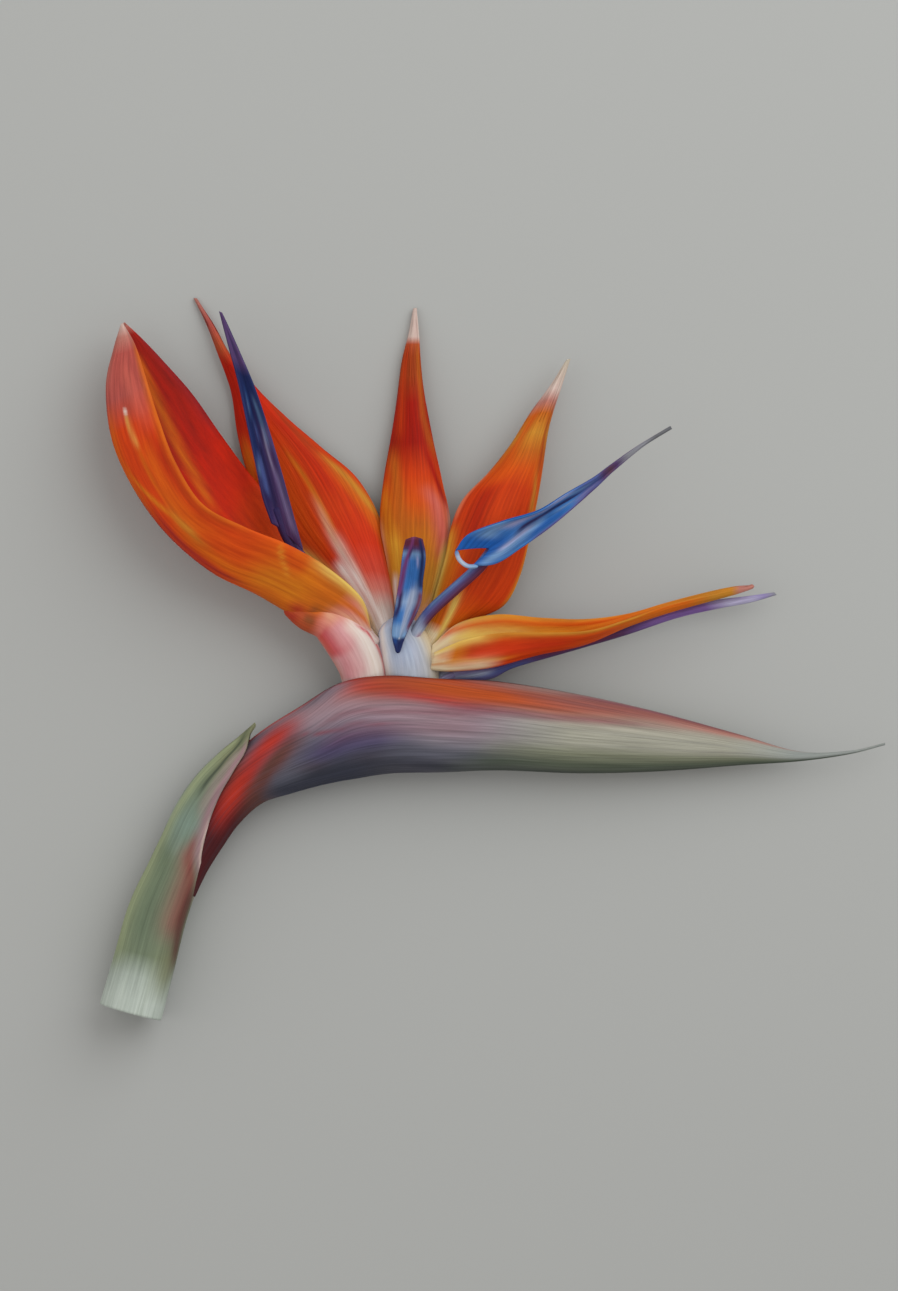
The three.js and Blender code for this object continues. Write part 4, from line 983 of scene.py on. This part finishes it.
spathe_streaks = [
    ("plum", [(0.33, 0.9), (0.4, 0.7), (0.48, 0.58), (0.62, 0.52)], 0.16, 0.9),
    ("mauve", [(0.36, 0.8), (0.44, 0.68), (0.5, 0.62)], 0.05, 0.5),
    ("iris", [(0.36, 0.42), (0.42, 0.4), (0.52, 0.36)], 0.1, 0.9),
    ("umber", [(0.33, 0.36), (0.39, 0.3)], 0.06, 0.45),
    ("umber", [(0.44, 0.26), (0.5, 0.24)], 0.04, 0.5),
    ("mulberry", [(0.4, 0.46), (0.5, 0.44), (0.6, 0.46)], 0.05, 0.3),
    ("ink", [(0.27, 0.2), (0.36, 0.24), (0.52, 0.22), (0.6, 0.1)], 0.13, 0.9),
    ("night", [(0.3, 0), (0.46, 0.02)], 0.13, 0.9),
    ("ink", [(0.3, 0.1), (0.44, 0.09), (0.56, 0.04)], 0.12, 0.85),
    ("slate", [(0.3, 0.36), (0.34, 0.33)], 0.1, 0.8),
    ("slate", [(0.5, 0.3), (0.62, 0.26)], 0.07, 0.8),
    ("pine", [(0.58, 0.04), (0.7, 0.08), (0.86, 0.08), (0.92, 0.12)], 0.13, 0.95),
    ("bottle", [(0.84, 0.14), (0.9, 0.2), (0.95, 0.3)], 0.12, 0.8),
    ("bottle", [(0.59, 0.2), (0.66, 0.22), (0.86, 0.2)], 0.1, 0.8),
    ("moss", [(0.62, 0.32), (0.72, 0.32), (0.86, 0.3)], 0.07, 0.6),
    ("umber", [(0.25, 0.3), (0.3, 0.48), (0.345, 0.56)], 0.09, 0.9),
    ("crimson", [(0.16, 0.4), (0.22, 0.46), (0.27, 0.57), (0.31, 0.68), (0.355, 0.74)], 0.135, 0.9),
    ("ruby", [(0.2, 0.44), (0.245, 0.5)], 0.07, 0.8),
    ("ruby", [(0.3, 0.68), (0.345, 0.74)], 0.07, 0.8),
    ("umber", [(0.26, 0.4), (0.29, 0.47), (0.32, 0.54), (0.35, 0.6)], 0.06, 1),
    ("mulberry", [(0.36, 0.63), (0.39, 0.56), (0.43, 0.505), (0.5, 0.47)], 0.011, 0.8),
    ("mulberry", [(0.4, 0.6), (0.5, 0.54), (0.6, 0.55)], 0.02, 0.5),
    ("ruby", [(0.26, 0.98), (0.4, 0.98)], 0.06, 1),
    ("ruby", [(0.37, 0.98), (0.42, 0.9), (0.46, 0.8), (0.52, 0.77), (0.6, 0.8)], 0.05, 1),
    ("brick", [(0.45, 0.7), (0.52, 0.68), (0.62, 0.68), (0.7, 0.7)], 0.07, 0.85),
    ("crimson", [(0.45, 0.72), (0.52, 0.7), (0.6, 0.66)], 0.05, 0.8),
    ("brick", [(0.48, 0.76), (0.56, 0.75), (0.68, 0.76), (0.74, 0.8)], 0.1, 0.95),
    ("rust", [(0.54, 0.72), (0.6, 0.71), (0.66, 0.71)], 0.06, 1),
    ("crimson", [(0.47, 0.9), (0.55, 0.92)], 0.1, 0.8),
    ("brick", [(0.54, 0.9), (0.64, 0.92)], 0.1, 0.8),
    ("crimson", [(0.5, 0.64), (0.55, 0.63), (0.6, 0.61)], 0.025, 0.7),
    ("mulberry", [(0.56, 0.58), (0.66, 0.6), (0.74, 0.66)], 0.03, 0.7),
    ("rosewood", [(0.66, 0.8), (0.76, 0.84), (0.84, 0.92)], 0.14, 0.95),
    ("faded", [(0.76, 0.74), (0.84, 0.84), (0.87, 0.9)], 0.05, 0.6),
    ("mauve", [(0.62, 1), (0.7, 0.96), (0.8, 0.97)], 0.05, 0.85),
    ("mulberry", [(0.68, 0.88), (0.8, 0.91)], 0.03, 0.8),
]
bract = painted(
    spathe(),
    outer=[
        (0.18, "dusk"), (0.25, "umber"), (0.3, "slate"), (0.42, "slate"), (0.5, "pewter"), (0.6, "pewter"),
        (0.68, "sage"), (0.8, "sage"), (0.87, "fog"),
    ],
    inner=[(0, "blood"), (0.5, "rose"), (0.7, "blush"), (1, "sage")],
    streaks=[*on_face(OUTER, spathe_streaks), ("ruby", [(0.26, 0.98), (0.4, 0.98)], 0.06, 1, INNER)],
)
piece("spathe_bract", [bract], SPATHE_SKIN, "spathe")

sheath_streaks = [
    ("lime", [(0.1, -0.08), (0.4, -0.12), (0.62, -0.28), (0.9, -0.3)], 0.17, 0.85),
    ("haze", [(0.5, 0), (0.8, 0)], 0.16, 0.6),
    ("leaf", [(0.16, -0.42), (0.3, -0.4), (0.42, -0.4)], 0.16, 0.5),
    ("olive", [(0.06, -0.8), (0.16, -0.76)], 0.16, 0.8),
    ("rosewood", [(0.18, -0.7), (0.3, -0.68), (0.45, -0.72)], 0.14, 0.6),
    ("clay", [(0.2, -0.8), (0.3, -0.78), (0.4, -0.77), (0.5, -0.84)], 0.09, 0.85),
    ("umber", [(0.12, -0.9), (0.2, -0.84), (0.32, -0.84)], 0.1, 0.9),
    ("mauve", [(0.36, -1), (0.46, -0.96), (0.6, -0.93), (0.76, -0.92), (0.9, -0.92)], 0.12, 0.95),
    ("taupe", [(0.58, -0.76), (0.86, -0.76)], 0.09, 0.75),
    ("teal", [(0.4, -0.5), (0.5, -0.56), (0.58, -0.6)], 0.12, 0.4),
    ("shell", [(0.3, -0.97), (0.44, -0.99), (0.56, -1)], 0.035, 0.9),
    ("pine", [(0.64, -0.58), (0.74, -0.61), (0.9, -0.61)], 0.04, 0.85),
    ("bottle", [(0.86, -0.7), (0.96, -0.5)], 0.2, 0.4),
]
wrapping = painted(
    sheath(),
    outer=[
        (0.03, "pale_green"), (0.08, "haze"), (0.13, "fern"), (0.4, "fern"), (0.52, "teal"), (0.66, "fern"),
        (0.8, "olive"),
    ],
    inner=[(0, "haze"), (0.4, "mauve"), (1, "olive")],
    streaks=on_face(OUTER, sheath_streaks),
)
piece("stem_sheath", [wrapping], STEM_SKIN, "stem")

core_centre, _, stem_radius, _ = stem_stations(np.linspace(0, CORE_STATIONS / (len(STEM) - 1), 12))
core = tube(core_centre, stem_radius - SHEATH_WALL - CORE_GAP, steps=60, around=48, round_ends=0.3)
piece("stem_core", [painted(core, [(0, "haze"), (1, "dusk")])], STEM_SKIN, "stem")

# ---------- the surface, the light and the camera ----------
FLOOR_SIZE = 6
FLOOR_COLOUR = "afb0ae"
LAMP_SIZE = 1
SKY_COLOUR = (1, 0.985, 0.965, 1)
SKY_STRENGTH = 0.56
CAMERA_AIM = (-11.75 * MM, 3.25 * MM)
CAMERA_HEIGHT = 1.802
CAMERA_LENS = 200
CAMERA_SENSOR = 36
FARTHEST_SEEN = 10

bpy.ops.mesh.primitive_plane_add(size=FLOOR_SIZE, location=(0, 0, 0))
floor = bpy.context.object
floor.name = "floor"
paper = bpy.data.materials.new("plain floor")
paper.use_nodes = True
coat = paper.node_tree.nodes["Principled BSDF"].inputs
coat["Base Color"].default_value = (*linear(FLOOR_COLOUR), 1)
coat["Roughness"].default_value = 0.9
coat["Specular IOR Level"].default_value = 0.1
floor.data.materials.append(paper)


def soft_light(name, place, power, tint):
    """A round lamp that faces the flower."""
    lamp = bpy.data.lights.new(name, "AREA")
    lamp.shape = "DISK"
    lamp.size = LAMP_SIZE
    lamp.energy = power
    lamp.color = tint
    made = bpy.data.objects.new(name, lamp)
    made.location = place
    made.rotation_euler = (-Vector(place)).to_track_quat("-Z", "Y").to_euler()
    bpy.context.scene.collection.objects.link(made)


soft_light("key", (0.42, 0.48, 0.6), power=4.6, tint=(0.975, 1, 1))
soft_light("fill", (-0.5, 0.1, 0.5), power=1, tint=(1, 0.985, 0.97))

world = bpy.data.worlds.new("studio")
world.use_nodes = True
sky = world.node_tree.nodes["Background"].inputs
sky["Color"].default_value = SKY_COLOUR
sky["Strength"].default_value = SKY_STRENGTH
bpy.context.scene.world = world

lens = bpy.data.cameras.new("camera")
lens.lens = CAMERA_LENS
lens.sensor_width = CAMERA_SENSOR
lens.clip_end = FARTHEST_SEEN
camera = bpy.data.objects.new("camera", lens)
camera.location = (*CAMERA_AIM, CAMERA_HEIGHT)
bpy.context.scene.collection.objects.link(camera)
bpy.context.scene.camera = camera
bpy.context.scene.view_settings.view_transform = "Standard"
